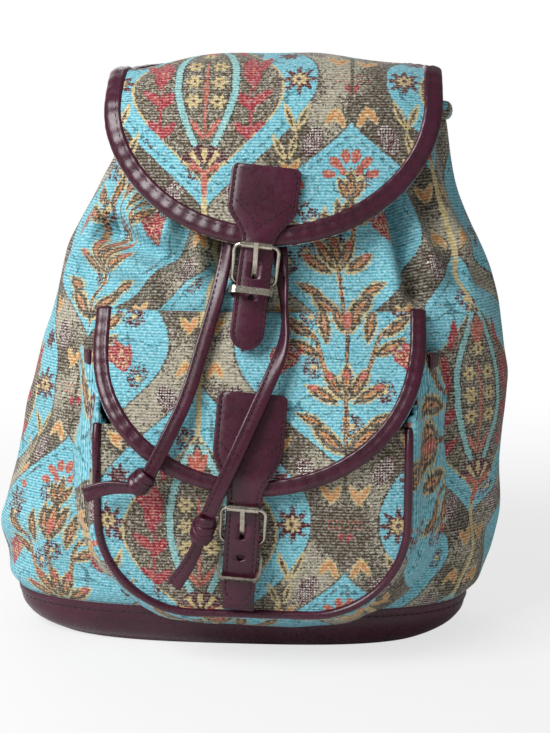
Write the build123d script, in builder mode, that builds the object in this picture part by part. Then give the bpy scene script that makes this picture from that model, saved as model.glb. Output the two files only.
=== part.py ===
from build123d import *
import math
import os

os.makedirs("parts", exist_ok=True)

# Bag body, a soft cloth sack that stands on a leather boot
bag_half_width = 165
mouth_height = 330
front_reach = 76
back_reach = 62
cloth = 3
boot_wall = 4
boot_floor = 4
gather_depth = 6
hem_height = 12
hem_overhang = 7
seam_gap = 0.3
overrun = 20

# Height, left, right, front and back shares of the body's sections, from the boot seam to the mouth
section_height_shares = (0.082, 0.17, 0.33, 0.515, 0.65, 0.77, 0.88, 1)
left_shares = (0.915, 0.985, 0.915, 0.815, 0.745, 0.675, 0.57, 0.44)
right_shares = (0.89, 0.985, 1.018, 1.024, 0.985, 0.905, 0.825, 0.775)
front_shares = (0.83, 0.91, 0.985, 1, 0.95, 0.86, 0.75, 0.61)
back_shares = (0.97, 1, 1.02, 1.01, 0.985, 0.95, 0.87, 0.76)
gather_shares = (0, 0, 0, 0, 0.1, 0.45, 0.8, 1)
section_powers = (2.9, 2.8, 2.6, 2.6, 2.6, 2.6, 2.6, 2.6)
gather_count = 12
points_per_turn = 72
back_half_turn = 46

# Soft folds of the front cloth: the turn of each, and how deep it lies at each of the sections
fold_depth = 7
fold_half_turn = 8
fold_turns = (310, 267, 242, 226, 323, 256, 285, 209, 334)
fold_shares = ((0, 0, 0, 0, 0.15, 0.9, 1, 0),
               (0, 0, 0, 0, 0.1, 0.85, 0.9, 0),
               (0, 0, 0, 0, 0.1, 0.6, 0.2, 0),
               (0, 0, 0, 0, 0.15, 0.6, 0.1, 0),
               (0, 0, 0, 0, 0.1, 0.45, 0.5, 0),
               (0, 0, 0, 0, 0, 0.3, 0.55, 0),
               (0, 0, 0, 0, 0, 0.3, 0.5, 0),
               (0, 0, 0.4, 0.2, 0, 0, 0, 0),
               (0, 0.25, 0.45, 0, 0, 0, 0, 0))

# The boot narrows to its flat underside
boot_height_shares = (0, 0.16, 0.5, 1)
boot_reach_shares = (0.85, 0.91, 0.97, 1)

# Top flap: profile of its outer face, from the front edge over the mouth to the back seam
flap_center = 21.5
flap_half_width = 102
flap_curve_height = 84
flap_curve_rise = 10
flap_thickness = 3
flap_binding_width = 12
binding_proud = 1.5
flap_side_droop = 12
flap_side_set_back = 18
flap_seam_drop = 30
flap_crown_rise = 41
flap_crown_front = 48
flap_crown_front_drop = 10
flap_shoulder_drop = 37
flap_crown_back = 44
flap_crown_back_drop = 7
flap_back_turn_drop = 27
flap_lower_margin = 12
flap_taper_start = 10
flap_back_half_width = 62
prism_reach = 460
across_shares = (-1, -0.5, 0, 0.5, 1)

# Closing straps: one leather tab with a flared head and a tail for the top flap and one for the pocket
strap_width = 20
strap_thickness = 2.4
tab_head_width = 41
tab_corner = 3
flap_tab_head_length = 24
flap_tab_taper_length = 20
pocket_tab_head_length = 32
pocket_tab_taper_length = 30
hole_pitch = 16
hole_diameter = 3.6

flap_roller_side = 15.6
flap_roller_stand = 6
flap_roller_drop = 73.7
flap_lean = 6.3
flap_slope = 10
flap_tab_above_roller = 47
flap_tail_below_roller = 61
flap_tab_bend_above = 13
flap_head_tilt = 0.9

pocket_roller_side = 9.8
pocket_roller_stand = 13
pocket_roller_rise = 70
pocket_lean = 4
pocket_slope = 1
pocket_tab_above_roller = 66.5
pocket_tail_below_roller = 59
pocket_tab_bend_above = 18
pocket_head_tilt = 13.2

# Roller buckle and its strip metal keeper
wire_radius = 1.1
roller_radius = 2.2
roller_length = 18
buckle_reach = 22
buckle_top_half_width = 13.25
buckle_bar_half_width = 12.5
buckle_corner = 4
pivot_clearance = 0.1
run_clearance = 0.3
prong_width = 2.6
prong_thickness = 1.6
prong_eye_radius = 2.5
prong_overhang = 3
prong_lift = 8
slot_side_clearance = 0.4
keeper_below_bar = 7.5
keeper_strip = 4
keeper_thickness = 1.4
keeper_inner_width = 23
keeper_inner_depth = 15
keeper_corner = 4.5
flap_keeper_tilt = -10
pocket_keeper_tilt = 52

# Chape: the leather strip that holds a buckle by its bar
chape_thickness = 1.8
chape_width = 19
chape_eye_width = 15
chape_straight = 13
flap_chape_fall = 33.3
pocket_chape_rise = 4

# Front pocket: tapered bellows with a piped front
pocket_center = 13
pocket_face = 100
pocket_half_width = 92
pocket_bottom = 38
pocket_corner = 58
pocket_reach = 54
pocket_splay = 32
pocket_drop = 31
pocket_front_top = 130
pocket_side_top = 193
pocket_side_depth = 24
pocket_wall = 3
piping_radius = 2.5
side_tab_size = 9
side_tab_thickness = 3

# Pocket flap, sewn to the body along its upper edge
pocket_flap_center = 15.5
pocket_flap_half_width = 99.5
pocket_flap_curve_height = 88
pocket_flap_curve_top = 201
pocket_flap_seam_height = 217
pocket_flap_binding_width = 10
pocket_flap_wrap = 12
pocket_flap_reach_shares = (0, 0.12, 0.32, 0.62, 0.9, 1)
pocket_flap_height_shares = (0, 0.075, 0.2, 0.375, 0.64, 1)

# Drawstring, a folded leather strip whose two ends hang from the hem and end in knots
string_diameter = 5
knot_radius = 6.5
knot_rounding = 4
eyelet_radius = 3.7
eyelet_thickness = 1.6
string_left = [(-2, -50.9, 329), (-2.5, -58, 303), (-2, -67.5, 262), (-8, -76, 229), (-16.5, -90.5, 198),
               (-23, -105, 172), (-34, -114, 148), (-45, -117.5, 127)]
string_right = [(27, -50.9, 329), (26.5, -58, 303), (27, -68, 262), (30.5, -77.5, 229), (33, -92, 201),
                (22, -107, 176), (9.5, -116.5, 148), (-1.5, -120.5, 124), (-10.5, -121, 104)]
tail_left = [(-54, -117.5, 119), (-64, -117, 119.5), (-74, -116.5, 118), (-83, -116, 114)]
tail_right = [(-15.5, -120.5, 89), (-19.5, -119.5, 79), (-25, -118.5, 69.5), (-31, -117.5, 61)]

# Carrying straps on the back
yoke_width = 118
yoke_height = 22
yoke_thickness = 2.5
yoke_drop = 40
shoulder_width = 34
shoulder_thickness = 4
shoulder_spacing = 27
anchor_spacing = 85
shoulder_drop = 19
shoulder_bow = 40
shoulder_straight = 46
shoulder_end_height = 118
bow_share = 0.58
end_bow_share = 0.72
shoulder_bend_share = 1.4
lower_strap_width = 20
lower_strap_thickness = 2
lower_strap_end_height = 42
adjuster_height = 22
adjuster_rail = 3
adjuster_thickness = 2
anchor_width = 34
anchor_height = 30
anchor_thickness = 2.5
loop_half_width = 36
loop_rise = 38
loop_width = 18
loop_thickness = 3


def share_at(height, shares):
    """A section table read at a height by straight steps between its sections."""
    share = height / mouth_height
    steps = list(zip(section_height_shares, shares))
    for (low, first), (high, second) in zip(steps, steps[1:]):
        if share <= high:
            return first + (second - first) * (share - low) / (high - low)
    return shares[-1]


def body_front(height):
    return -front_reach * share_at(height, front_shares)


def body_back(height):
    return back_reach * share_at(height, back_shares)


def fold_share(index, turn):
    """How deep the folds lie at a turn of a body section."""
    share = 0
    for place, shares in zip(fold_turns, fold_shares):
        away = 2 * math.sin((turn - math.radians(place)) / 2) / math.radians(fold_half_turn)
        share += shares[index] * math.exp(-away ** 2)
    return share


def section_point(index, turn, grow):
    """A point of a body section: a squarish oval with unlike halves, waved by gathers and folds."""
    power = 2 / section_powers[index]
    across, along = math.cos(turn), math.sin(turn)
    width = bag_half_width * (right_shares[index] if across >= 0 else left_shares[index])
    depth = back_reach * back_shares[index] if along >= 0 else front_reach * front_shares[index]
    wave = gather_depth * gather_shares[index] * (math.cos(gather_count * turn) - 1) / 2
    wave -= fold_depth * fold_share(index, turn)
    width += grow + wave
    depth += grow + wave
    return (width * math.copysign(abs(across) ** power, across),
            depth * math.copysign(abs(along) ** power, along))


def turns(first, last):
    """Even steps of the turn from one angle to another, in radians."""
    count = round(points_per_turn * (last - first) / 360)
    return [math.radians(first + (last - first) * step / count) for step in range(count + 1)]


def body_form(grow):
    """The filled outside of the sack between the boot and the mouth, grown by a clearance."""
    with BuildPart() as form:
        for index, share in enumerate(section_height_shares):
            with BuildSketch(Plane.XY.offset(share * mouth_height)):
                with BuildLine():
                    around = [section_point(index, turn, grow) for turn in turns(0, 360)[:-1]]
                    Spline(*around, periodic=True)
                make_face()
        loft()
    return form.part


def boot_form(shrink, floor, top):
    """The filled outside of the boot, shrunk by its wall, from its floor up."""
    with BuildPart() as form:
        for height_share, reach_share in zip(boot_height_shares, boot_reach_shares):
            rise = floor + (top - floor) * height_share
            with BuildSketch(Plane.XY.offset(rise)):
                with BuildLine():
                    around = [section_point(0, turn, -shrink) for turn in turns(0, 360)[:-1]]
                    Spline(*[(reach_share * x, reach_share * y) for x, y in around], periodic=True)
                make_face()
        loft()
    return form.part


def cloth_panel(first, last):
    """A stretch of the sack's cloth wall between two turns, lofted from the boot seam to the mouth."""
    with BuildPart() as panel:
        for index, share in enumerate(section_height_shares):
            outer = [section_point(index, turn, 0) for turn in turns(first, last)]
            inner = [section_point(index, turn, -cloth) for turn in turns(first, last)]
            with BuildSketch(Plane.XY.offset(share * mouth_height)):
                with BuildLine():
                    Spline(*outer)
                    Line(outer[-1], inner[-1])
                    Spline(*reversed(inner))
                    Line(inner[0], outer[0])
                make_face()
        loft()
    return panel


def keep(piece, name):
    piece.part.label = name
    export_step(piece.part, "parts/" + name + ".step")


# Cloth walls: one piece round the front and the sides, one for the back
front_wrap = cloth_panel(90 + back_half_turn, 450 - back_half_turn)
keep(front_wrap, "front_wrap")
back_panel = cloth_panel(90 - back_half_turn, 90 + back_half_turn)
keep(back_panel, "back_panel")

# Leather boot: a low tray with a rounded lower edge
boot_top = section_height_shares[0] * mouth_height
with BuildPart() as base_boot:
    add(boot_form(0, 0, boot_top))
    add(boot_form(boot_wall, boot_floor, boot_top), mode=Mode.SUBTRACT)
keep(base_boot, "base_boot")

# Rolled hem at the mouth, the tunnel of the drawstring
mouth = len(section_height_shares) - 1
with BuildPart() as mouth_hem:
    with BuildSketch(Plane.XY.offset(mouth_height)):
        with BuildLine():
            rim = [section_point(mouth, turn, hem_overhang) for turn in turns(0, 360)[:-1]]
            Spline(*rim, periodic=True)
        make_face()
        with BuildLine():
            lining = [section_point(mouth, turn, -cloth) for turn in turns(0, 360)[:-1]]
            Spline(*lining, periodic=True)
        make_face(mode=Mode.SUBTRACT)
    extrude(amount=hem_height)
keep(mouth_hem, "mouth_hem")


def string_tube(route, name):
    """A round tube of straight runs and tangent arcs along a route, with the arcs' radii printed."""
    points = [Vector(*point) for point in route]
    radii = []
    for before, here, after in zip(points, points[1:], points[2:]):
        half_turn = math.radians((here - before).get_angle(after - here)) / 2
        shorter = min((here - before).length, (after - here).length)
        radii.append(0.45 * shorter / math.tan(half_turn))
    print(name, "arc radii", [round(radius, 1) for radius in radii])
    with BuildPart() as tube:
        with BuildLine() as path:
            FilletPolyline(*points, radius=radii)
        start = Plane(origin=points[0], z_dir=points[1] - points[0])
        with BuildSketch(start):
            Circle(string_diameter / 2)
        sweep(path=path.line)
    keep(tube, name)


def knot(string, tail, name):
    """An overhand knot drawn tight: a rounded barrel between the string's end and its tail."""
    start, end = Vector(*string[-1]), Vector(*tail[0])
    along = (end - start).normalized()
    radius = string_diameter / 2
    start_turn = along.get_angle(start - Vector(*string[-2]))
    end_turn = along.get_angle(Vector(*tail[1]) - end)
    start_gap = radius * math.sin(math.radians(start_turn)) + seam_gap
    end_gap = radius * math.sin(math.radians(end_turn)) + seam_gap
    length = (end - start).length - start_gap - end_gap
    with BuildPart() as barrel:
        with BuildSketch(Plane(origin=start + along * start_gap, z_dir=along)):
            Circle(knot_radius)
        extrude(amount=length)
        fillet(barrel.edges().filter_by(GeomType.CIRCLE), radius=min(knot_rounding, 0.4 * length))
    keep(barrel, name)


string_tube(string_left, "drawstring_left")
string_tube(string_right, "drawstring_right")
string_tube(tail_left, "drawstring_tail_left")
string_tube(tail_right, "drawstring_tail_right")
knot(string_left, tail_left, "knot_left")
knot(string_right, tail_right, "knot_right")

for side, route in (("left", string_left), ("right", string_right)):
    with BuildPart() as eyelet:
        with BuildSketch(Plane(origin=(route[0][0], route[0][1], mouth_height))):
            Circle(eyelet_radius)
            Circle(string_diameter / 2 + 2 * seam_gap, mode=Mode.SUBTRACT)
        extrude(amount=-eyelet_thickness)
    keep(eyelet, "eyelet_" + side)


def strap_plane(roller_place, lean, slope):
    """The back face of a closing strap: x across it, y up along it, z outward, origin at the buckle's bar."""
    turn, tip = math.radians(lean), math.radians(slope)
    up = Vector(math.sin(turn), math.cos(turn) * math.sin(tip), math.cos(turn) * math.cos(tip))
    out = Vector(0, -math.cos(tip), math.sin(tip))
    origin = Vector(*roller_place) - up * buckle_reach
    return Plane(origin=origin, x_dir=up.cross(out), z_dir=out)


def side_plane(strap, place):
    """A plane across a strap at a local place, with x up along the strap and y outward."""
    return Plane(origin=strap.from_local_coords(place), x_dir=strap.y_dir, z_dir=strap.x_dir)


# Places of a buckle's axes over and under the strap
roller_out = strap_thickness + run_clearance + roller_radius
chape_eye_radius = wire_radius + pivot_clearance + chape_thickness
bar_out = -run_clearance - chape_eye_radius
frame_tilt = math.atan2(roller_out - bar_out, buckle_reach)
roller_distance = math.hypot(roller_out - bar_out, buckle_reach)
prong_offset = roller_radius + run_clearance + prong_thickness / 2
prong_angle = frame_tilt + math.asin(prong_offset / roller_distance)
prong_length = math.sqrt(roller_distance ** 2 - prong_offset ** 2) + prong_overhang
chape_back = -run_clearance - chape_thickness
keeper_swing = math.hypot(keeper_thickness, keeper_strip) / 2
keeper_out = chape_back - run_clearance - keeper_swing


def prong_line(out, angle):
    """How far up the strap a prong at that angle passes a depth, and half its slanted thickness."""
    return (out - bar_out) / math.tan(angle), prong_thickness / 2 / math.sin(angle)


def strap_tab(strap, above, below, bend_above, tilt, head_length, taper_length, name):
    """Leather tab: flared head bent back onto its flap, tail with a rounded tip, holes for the prong."""
    top = buckle_reach + above
    bend = buckle_reach + bend_above
    neck = top - head_length - taper_length
    tip = buckle_reach - below
    half, head_half = strap_width / 2, tab_head_width / 2
    bend_half = half + (head_half - half) * (bend - neck) / taper_length
    fold = math.radians(tilt)
    head_plane = Plane(origin=strap.from_local_coords((0, bend, 0)), x_dir=strap.x_dir,
                       z_dir=strap.z_dir * math.cos(fold) + strap.y_dir * math.sin(fold))
    lifted = prong_angle + math.radians(prong_lift)
    back_low, back_half = prong_line(0, lifted)
    front_low, front_half = prong_line(strap_thickness, lifted)
    back_high, rest_half = prong_line(0, prong_angle)
    front_high, _ = prong_line(strap_thickness, prong_angle)
    with BuildPart() as tab:
        with BuildSketch(strap):
            with BuildLine():
                Polyline((-half, tip + half), (-half, neck), (-bend_half, bend),
                         (bend_half, bend), (half, neck), (half, tip + half))
                ThreePointArc((half, tip + half), (0, tip), (-half, tip + half))
            make_face()
        extrude(amount=strap_thickness)
        with BuildSketch(head_plane) as face:
            Polygon((-bend_half, 0), (bend_half, 0), (head_half, top - head_length - bend),
                    (head_half, top - bend), (-head_half, top - bend),
                    (-head_half, top - head_length - bend), align=None)
            fillet(face.vertices().group_by(Axis.Y)[-1], radius=tab_corner)
        extrude(amount=strap_thickness)
        with BuildSketch(side_plane(strap, (0, 0, 0))):
            Polygon((bend, 0), (bend, strap_thickness),
                    (bend + strap_thickness * math.sin(fold), strap_thickness * math.cos(fold)), align=None)
        extrude(amount=bend_half, both=True)
        with BuildSketch(side_plane(strap, (0, 0, 0))):
            Polygon((back_low - back_half - slot_side_clearance, 0),
                    (back_high + rest_half + slot_side_clearance, 0),
                    (front_high + rest_half + slot_side_clearance, strap_thickness),
                    (front_low - front_half - slot_side_clearance, strap_thickness), align=None)
        extrude(amount=prong_width / 2 + slot_side_clearance, both=True, mode=Mode.SUBTRACT)
        with BuildSketch(strap):
            with Locations((0, front_low - hole_pitch)):
                Circle(hole_diameter / 2)
        extrude(amount=strap_thickness, mode=Mode.SUBTRACT)
    keep(tab, name)


def buckle(strap, group):
    """Roller buckle: bent wire frame, roller on its upper bar, prong hinged on its lower bar."""
    bar = strap.from_local_coords((0, 0, bar_out))
    out = strap.z_dir * math.cos(frame_tilt) - strap.y_dir * math.sin(frame_tilt)
    frame_plane = Plane(origin=bar, x_dir=strap.x_dir, z_dir=out)
    with BuildPart() as wire:
        with BuildLine(frame_plane) as path:
            FilletPolyline((buckle_bar_half_width, 0), (buckle_top_half_width, roller_distance),
                           (-buckle_top_half_width, roller_distance), (-buckle_bar_half_width, 0),
                           radius=buckle_corner, close=True)
        with BuildSketch(Plane(origin=path.line @ 0, z_dir=path.line % 0)):
            Circle(wire_radius)
        sweep(path=path.line)
    keep(wire, group + "_buckle_frame")

    roller_center = strap.from_local_coords((0, buckle_reach, roller_out))
    with BuildPart() as roller:
        with BuildSketch(Plane(origin=roller_center, x_dir=strap.y_dir, z_dir=strap.x_dir)):
            Circle(roller_radius)
            Circle(wire_radius + pivot_clearance, mode=Mode.SUBTRACT)
        extrude(amount=roller_length / 2, both=True)
    keep(roller, group + "_buckle_roller")

    with BuildPart() as prong:
        with BuildSketch(side_plane(strap, (0, 0, bar_out))):
            Circle(prong_eye_radius)
            with Locations(Location((0, 0), math.degrees(prong_angle))):
                Rectangle(prong_length, prong_thickness, align=(Align.MIN, Align.CENTER))
                with Locations((prong_length, 0)):
                    Circle(prong_thickness / 2)
            Circle(wire_radius + pivot_clearance, mode=Mode.SUBTRACT)
        extrude(amount=prong_width / 2, both=True)
    keep(prong, group + "_buckle_prong")
    print(group, "roller", tuple(roller_center), "bar", tuple(bar), "axis", tuple(strap.x_dir))


def keeper(strap, tilt, group):
    """Keeper: a loop of strip metal round strap and chape, tilted about its hidden back bar."""
    turn = math.radians(tilt)
    pivot = strap.from_local_coords((0, -keeper_below_bar, keeper_out))
    normal = strap.y_dir * math.cos(turn) + strap.z_dir * math.sin(turn)
    outer_width = keeper_inner_width + 2 * keeper_thickness
    outer_depth = keeper_inner_depth + 2 * keeper_thickness
    with BuildPart() as loop:
        with BuildSketch(Plane(origin=pivot, x_dir=strap.x_dir, z_dir=normal)):
            with Locations((0, keeper_thickness / 2 - outer_depth / 2)):
                RectangleRounded(outer_width, outer_depth, keeper_corner)
                RectangleRounded(keeper_inner_width, keeper_inner_depth, keeper_corner - keeper_thickness,
                                 mode=Mode.SUBTRACT)
        extrude(amount=keeper_strip / 2, both=True)
    keep(loop, group + "_keeper")
    print(group, "keeper pivot", tuple(pivot))


def chape(strap, seat, name):
    """Chape: leather eye round the buckle's bar, a straight run behind the tail, then in to its seam."""
    front = -run_clearance
    run_middle = front - chape_thickness / 2
    local_seat = strap.to_local_coords(Vector(*seat))
    with BuildPart() as strip:
        with BuildLine(side_plane(strap, (0, 0, 0))) as path:
            FilletPolyline((-chape_eye_radius, run_middle), (-chape_straight, run_middle),
                           (local_seat.Y, local_seat.Z), radius=2 * chape_thickness)
        with BuildSketch(Plane(origin=path.line @ 0, x_dir=strap.x_dir, z_dir=path.line % 0)):
            Rectangle(chape_width, chape_thickness)
        sweep(path=path.line)
        with BuildSketch(side_plane(strap, (0, 0, bar_out))):
            Circle(chape_eye_radius)
            Rectangle(chape_eye_radius, chape_eye_radius, align=(Align.MAX, Align.MIN))
            Circle(wire_radius + pivot_clearance, mode=Mode.SUBTRACT)
        extrude(amount=chape_eye_width / 2, both=True)
        with BuildSketch(side_plane(strap, (0, 0, bar_out))):
            Rectangle(4 * chape_eye_radius, 4 * chape_eye_radius)
            with Locations((-2 * chape_eye_radius, 0)):
                Rectangle(2 * chape_eye_radius, 4 * chape_eye_radius, mode=Mode.SUBTRACT)
        extrude(amount=prong_width / 2 + slot_side_clearance, both=True, mode=Mode.SUBTRACT)
    keep(strip, name)


flap_roller_place = (flap_roller_side, -front_reach - flap_roller_stand, mouth_height - flap_roller_drop)
pocket_roller_height = pocket_bottom + pocket_roller_rise
pocket_roller_place = (pocket_roller_side, -pocket_face - pocket_roller_stand, pocket_roller_height)
flap_strap = strap_plane(flap_roller_place, flap_lean, flap_slope)
pocket_strap = strap_plane(pocket_roller_place, pocket_lean, pocket_slope)
strap_tab(flap_strap, flap_tab_above_roller, flap_tail_below_roller, flap_tab_bend_above,
          flap_head_tilt, flap_tab_head_length, flap_tab_taper_length, "flap_tab")
strap_tab(pocket_strap, pocket_tab_above_roller, pocket_tail_below_roller, pocket_tab_bend_above,
          pocket_head_tilt, pocket_tab_head_length, pocket_tab_taper_length, "pocket_tab")
buckle(flap_strap, "flap")
buckle(pocket_strap, "pocket")
keeper(flap_strap, flap_keeper_tilt, "flap")
keeper(pocket_strap, pocket_keeper_tilt, "pocket")
flap_chape_seat = flap_roller_place[2] - flap_chape_fall
flap_chape_end = body_front(flap_chape_seat) - chape_thickness
chape(flap_strap, (flap_roller_side, flap_chape_end, flap_chape_seat), "flap_chape")
pocket_chape_out = -pocket_face - seam_gap - piping_radius - chape_thickness
chape(pocket_strap, (pocket_roller_side, pocket_chape_out, pocket_bottom + pocket_chape_rise), "pocket_chape")


def parallel(line, distance):
    """The points of a smooth line moved sideways, to the right of its run."""
    moved = []
    for index, (y, z) in enumerate(line):
        before, after = line[max(index - 1, 0)], line[min(index + 1, len(line) - 1)]
        run = math.hypot(after[0] - before[0], after[1] - before[1])
        across, along = (after[1] - before[1]) / run, (after[0] - before[0]) / run
        moved.append((y + distance * across, z - distance * along))
    return moved


def curved_sheet(center, half_width, profile, thickness, proud):
    """A sheet lofted across the bag. Its profile moves back and down towards the sides."""
    with BuildPart() as sheet:
        for across_share in across_shares:
            bend = across_share ** 2
            face = [(y + bend * back, z - bend * down) for y, z, back, down in profile]
            outer, inner = parallel(face, -proud), parallel(face, thickness + proud)
            side = Plane(origin=(center + across_share * half_width, 0, 0), x_dir=(0, 1, 0), z_dir=(1, 0, 0))
            with BuildSketch(side):
                with BuildLine():
                    Spline(*outer)
                    Line(outer[-1], inner[-1])
                    Spline(*reversed(inner))
                    Line(inner[0], outer[0])
                make_face()
        loft()
    return sheet.part


def apron(center, half_width, curve_top, curve_height, inset):
    """The outline of a flap seen from the front, straight sides and a half ellipse, as a deep prism."""
    half = half_width - inset
    with BuildPart() as prism:
        with BuildSketch(Plane.XZ):
            with BuildLine():
                Polyline((center + half, curve_top), (center + half, prism_reach),
                         (center - half, prism_reach), (center - half, curve_top))
                EllipticalCenterArc((center, curve_top), half, curve_height - inset,
                                    start_angle=180, arc_size=180)
            make_face()
        extrude(amount=prism_reach, both=True)
    return prism.part


# Top flap: cloth panel inside a leather binding, narrower towards its back seam
def flap_plan(inset):
    """The flap's outline seen from above as a tall prism."""
    half, back_half = flap_half_width - inset, flap_back_half_width - inset
    with BuildPart() as prism:
        with BuildSketch():
            Polygon((flap_center - half, -prism_reach), (flap_center + half, -prism_reach),
                    (flap_center + half, flap_taper_start), (flap_center + back_half, back_reach),
                    (flap_center + back_half, prism_reach), (flap_center - back_half, prism_reach),
                    (flap_center - back_half, back_reach), (flap_center - half, flap_taper_start), align=None)
        extrude(amount=prism_reach)
    return prism.part


def flap_front_at(height):
    """Where the flap's outer face runs behind the closing strap."""
    rise = math.tan(math.radians(flap_slope))
    return flap_roller_place[1] + (height - flap_roller_place[2]) * rise + binding_proud + seam_gap


flap_curve_top = mouth_height + flap_curve_rise
flap_crown = mouth_height + flap_crown_rise
flap_shoulder = flap_crown - flap_shoulder_drop
flap_back_turn = flap_crown - flap_back_turn_drop
flap_seam = mouth_height - flap_seam_drop
flap_low = flap_curve_top - flap_curve_height - flap_lower_margin
flap_middle = (flap_low + flap_shoulder) / 2
hem_back = body_back(mouth_height) + hem_overhang
flap_seam_out = body_back(flap_seam) + seam_gap + binding_proud + flap_thickness
flap_turn_out = hem_back + seam_gap + binding_proud + flap_thickness
flap_profile = (
    (flap_front_at(flap_low), flap_low, flap_side_set_back, 0),
    (flap_front_at(flap_middle), flap_middle, flap_side_set_back, 0),
    (flap_front_at(flap_shoulder), flap_shoulder, flap_side_set_back, 0),
    (-flap_crown_front, flap_crown - flap_crown_front_drop, flap_side_set_back, flap_side_droop / 2),
    (0, flap_crown, 0, flap_side_droop),
    (flap_crown_back, flap_crown - flap_crown_back_drop, 0, flap_side_droop / 2),
    (flap_turn_out, flap_back_turn, 0, 0),
    ((flap_turn_out + flap_seam_out) / 2, (flap_back_turn + flap_seam) / 2, 0, 0),
    (flap_seam_out, flap_seam, 0, 0))
flap_inside = apron(flap_center, flap_half_width, flap_curve_top, flap_curve_height, flap_binding_width)
flap_outside = apron(flap_center, flap_half_width, flap_curve_top, flap_curve_height, 0)
with BuildPart() as flap_panel:
    add(curved_sheet(flap_center, flap_half_width, flap_profile, flap_thickness, 0))
    add(flap_inside, mode=Mode.INTERSECT)
    add(flap_plan(flap_binding_width), mode=Mode.INTERSECT)
keep(flap_panel, "flap_panel")
with BuildPart() as flap_binding:
    add(curved_sheet(flap_center, flap_half_width, flap_profile, flap_thickness, binding_proud))
    add(flap_outside, mode=Mode.INTERSECT)
    add(flap_plan(0), mode=Mode.INTERSECT)
    add(flap_inside & flap_plan(flap_binding_width), mode=Mode.SUBTRACT)
keep(flap_binding, "flap_binding")

# Pocket flap: rises from its seam on the body and hangs over the pocket's mouth
pocket_flap_low = pocket_flap_curve_top - pocket_flap_curve_height - flap_lower_margin
pocket_flap_in = body_front(pocket_flap_seam_height) - 3 * seam_gap - binding_proud - flap_thickness
pocket_flap_out = pocket_roller_place[1] + binding_proud + seam_gap
pocket_flap_profile = []
for reach_share, height_share in zip(pocket_flap_reach_shares, pocket_flap_height_shares):
    pocket_flap_profile.insert(0, (
        pocket_flap_in + (pocket_flap_out - pocket_flap_in) * reach_share,
        pocket_flap_seam_height + (pocket_flap_low - pocket_flap_seam_height) * height_share,
        pocket_flap_wrap * (1 - reach_share), 0))
pocket_apron = (pocket_flap_center, pocket_flap_half_width, pocket_flap_curve_top, pocket_flap_curve_height)
with BuildPart() as pocket_flap:
    add(curved_sheet(pocket_flap_center, pocket_flap_half_width, pocket_flap_profile, flap_thickness, 0))
    add(apron(*pocket_apron, pocket_flap_binding_width), mode=Mode.INTERSECT)
keep(pocket_flap, "pocket_flap")
with BuildPart() as pocket_flap_binding:
    add(curved_sheet(pocket_flap_center, pocket_flap_half_width, pocket_flap_profile,
                     flap_thickness, binding_proud))
    add(apron(*pocket_apron, 0), mode=Mode.INTERSECT)
    add(apron(*pocket_apron, pocket_flap_binding_width), mode=Mode.SUBTRACT)
keep(pocket_flap_binding, "pocket_flap_binding")


# Bellows pocket: flat front, splayed gusset, piping along the front edge
def pocket_tray(shrink):
    """The filled pocket, from its front face back into the bag, shrunk by its wall."""
    top = pocket_side_top + overrun
    with BuildPart() as tray:
        seam = (pocket_face - pocket_reach, pocket_splay, pocket_drop)
        for depth, splay, drop in ((pocket_face, 0, 0), seam):
            half = pocket_half_width + splay - shrink
            low = pocket_bottom - drop + shrink
            with BuildSketch(Plane.XZ.offset(depth)) as face:
                with BuildLine():
                    Polyline((pocket_center - half, top), (pocket_center - half, low),
                             (pocket_center + half, low), (pocket_center + half, top), close=True)
                make_face()
                fillet(face.vertices().group_by(Axis.Y)[0], radius=pocket_corner + splay - shrink)
        loft(ruled=True)
    return tray.part


def piping(radius):
    """A round cord of leather along the sides and the bottom of the pocket's front."""
    half = pocket_half_width
    with BuildPart() as tube:
        with BuildLine(Plane.XZ.offset(pocket_face)) as path:
            FilletPolyline((pocket_center - half, pocket_front_top), (pocket_center - half, pocket_bottom),
                           (pocket_center + half, pocket_bottom), (pocket_center + half, pocket_front_top),
                           radius=pocket_corner)
        with BuildSketch(Plane(origin=path.line @ 0, z_dir=path.line % 0)):
            Circle(radius)
        sweep(path=path.line)
    return tube


def above_pocket():
    """What lies over the pocket's slanted mouth."""
    rise = (pocket_side_top - pocket_front_top) / pocket_side_depth
    with BuildPart() as prism:
        with BuildSketch(Plane.YZ):
            Polygon((-pocket_face - overrun, pocket_front_top - overrun * rise),
                    (-pocket_face + pocket_side_depth, pocket_side_top),
                    (0, pocket_side_top), (0, prism_reach), (-pocket_face - overrun, prism_reach), align=None)
        extrude(amount=prism_reach, both=True)
    return prism.part


pocket_piping = piping(piping_radius)
keep(pocket_piping, "pocket_piping")
with BuildPart() as pocket_slab:
    with BuildSketch(Plane.XZ.offset(pocket_face - pocket_wall)):
        Rectangle(prism_reach, prism_reach)
    extrude(amount=overrun)
pocket_top_cut = above_pocket()
piping_room = piping(piping_radius + seam_gap / 2).part
with BuildPart() as pocket_front:
    add(pocket_tray(0))
    add(pocket_slab.part, mode=Mode.INTERSECT)
    add(pocket_top_cut, mode=Mode.SUBTRACT)
    add(piping_room, mode=Mode.SUBTRACT)
keep(pocket_front, "pocket_front")
with BuildPart() as pocket_gusset:
    add(pocket_tray(0))
    add(pocket_tray(pocket_wall), mode=Mode.SUBTRACT)
    add(pocket_slab.part, mode=Mode.SUBTRACT)
    add(pocket_top_cut, mode=Mode.SUBTRACT)
    add(piping_room, mode=Mode.SUBTRACT)
    add(body_form(seam_gap), mode=Mode.SUBTRACT)
    add(boot_form(-seam_gap, -seam_gap, boot_top), mode=Mode.SUBTRACT)
keep(pocket_gusset, "pocket_gusset")

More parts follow.
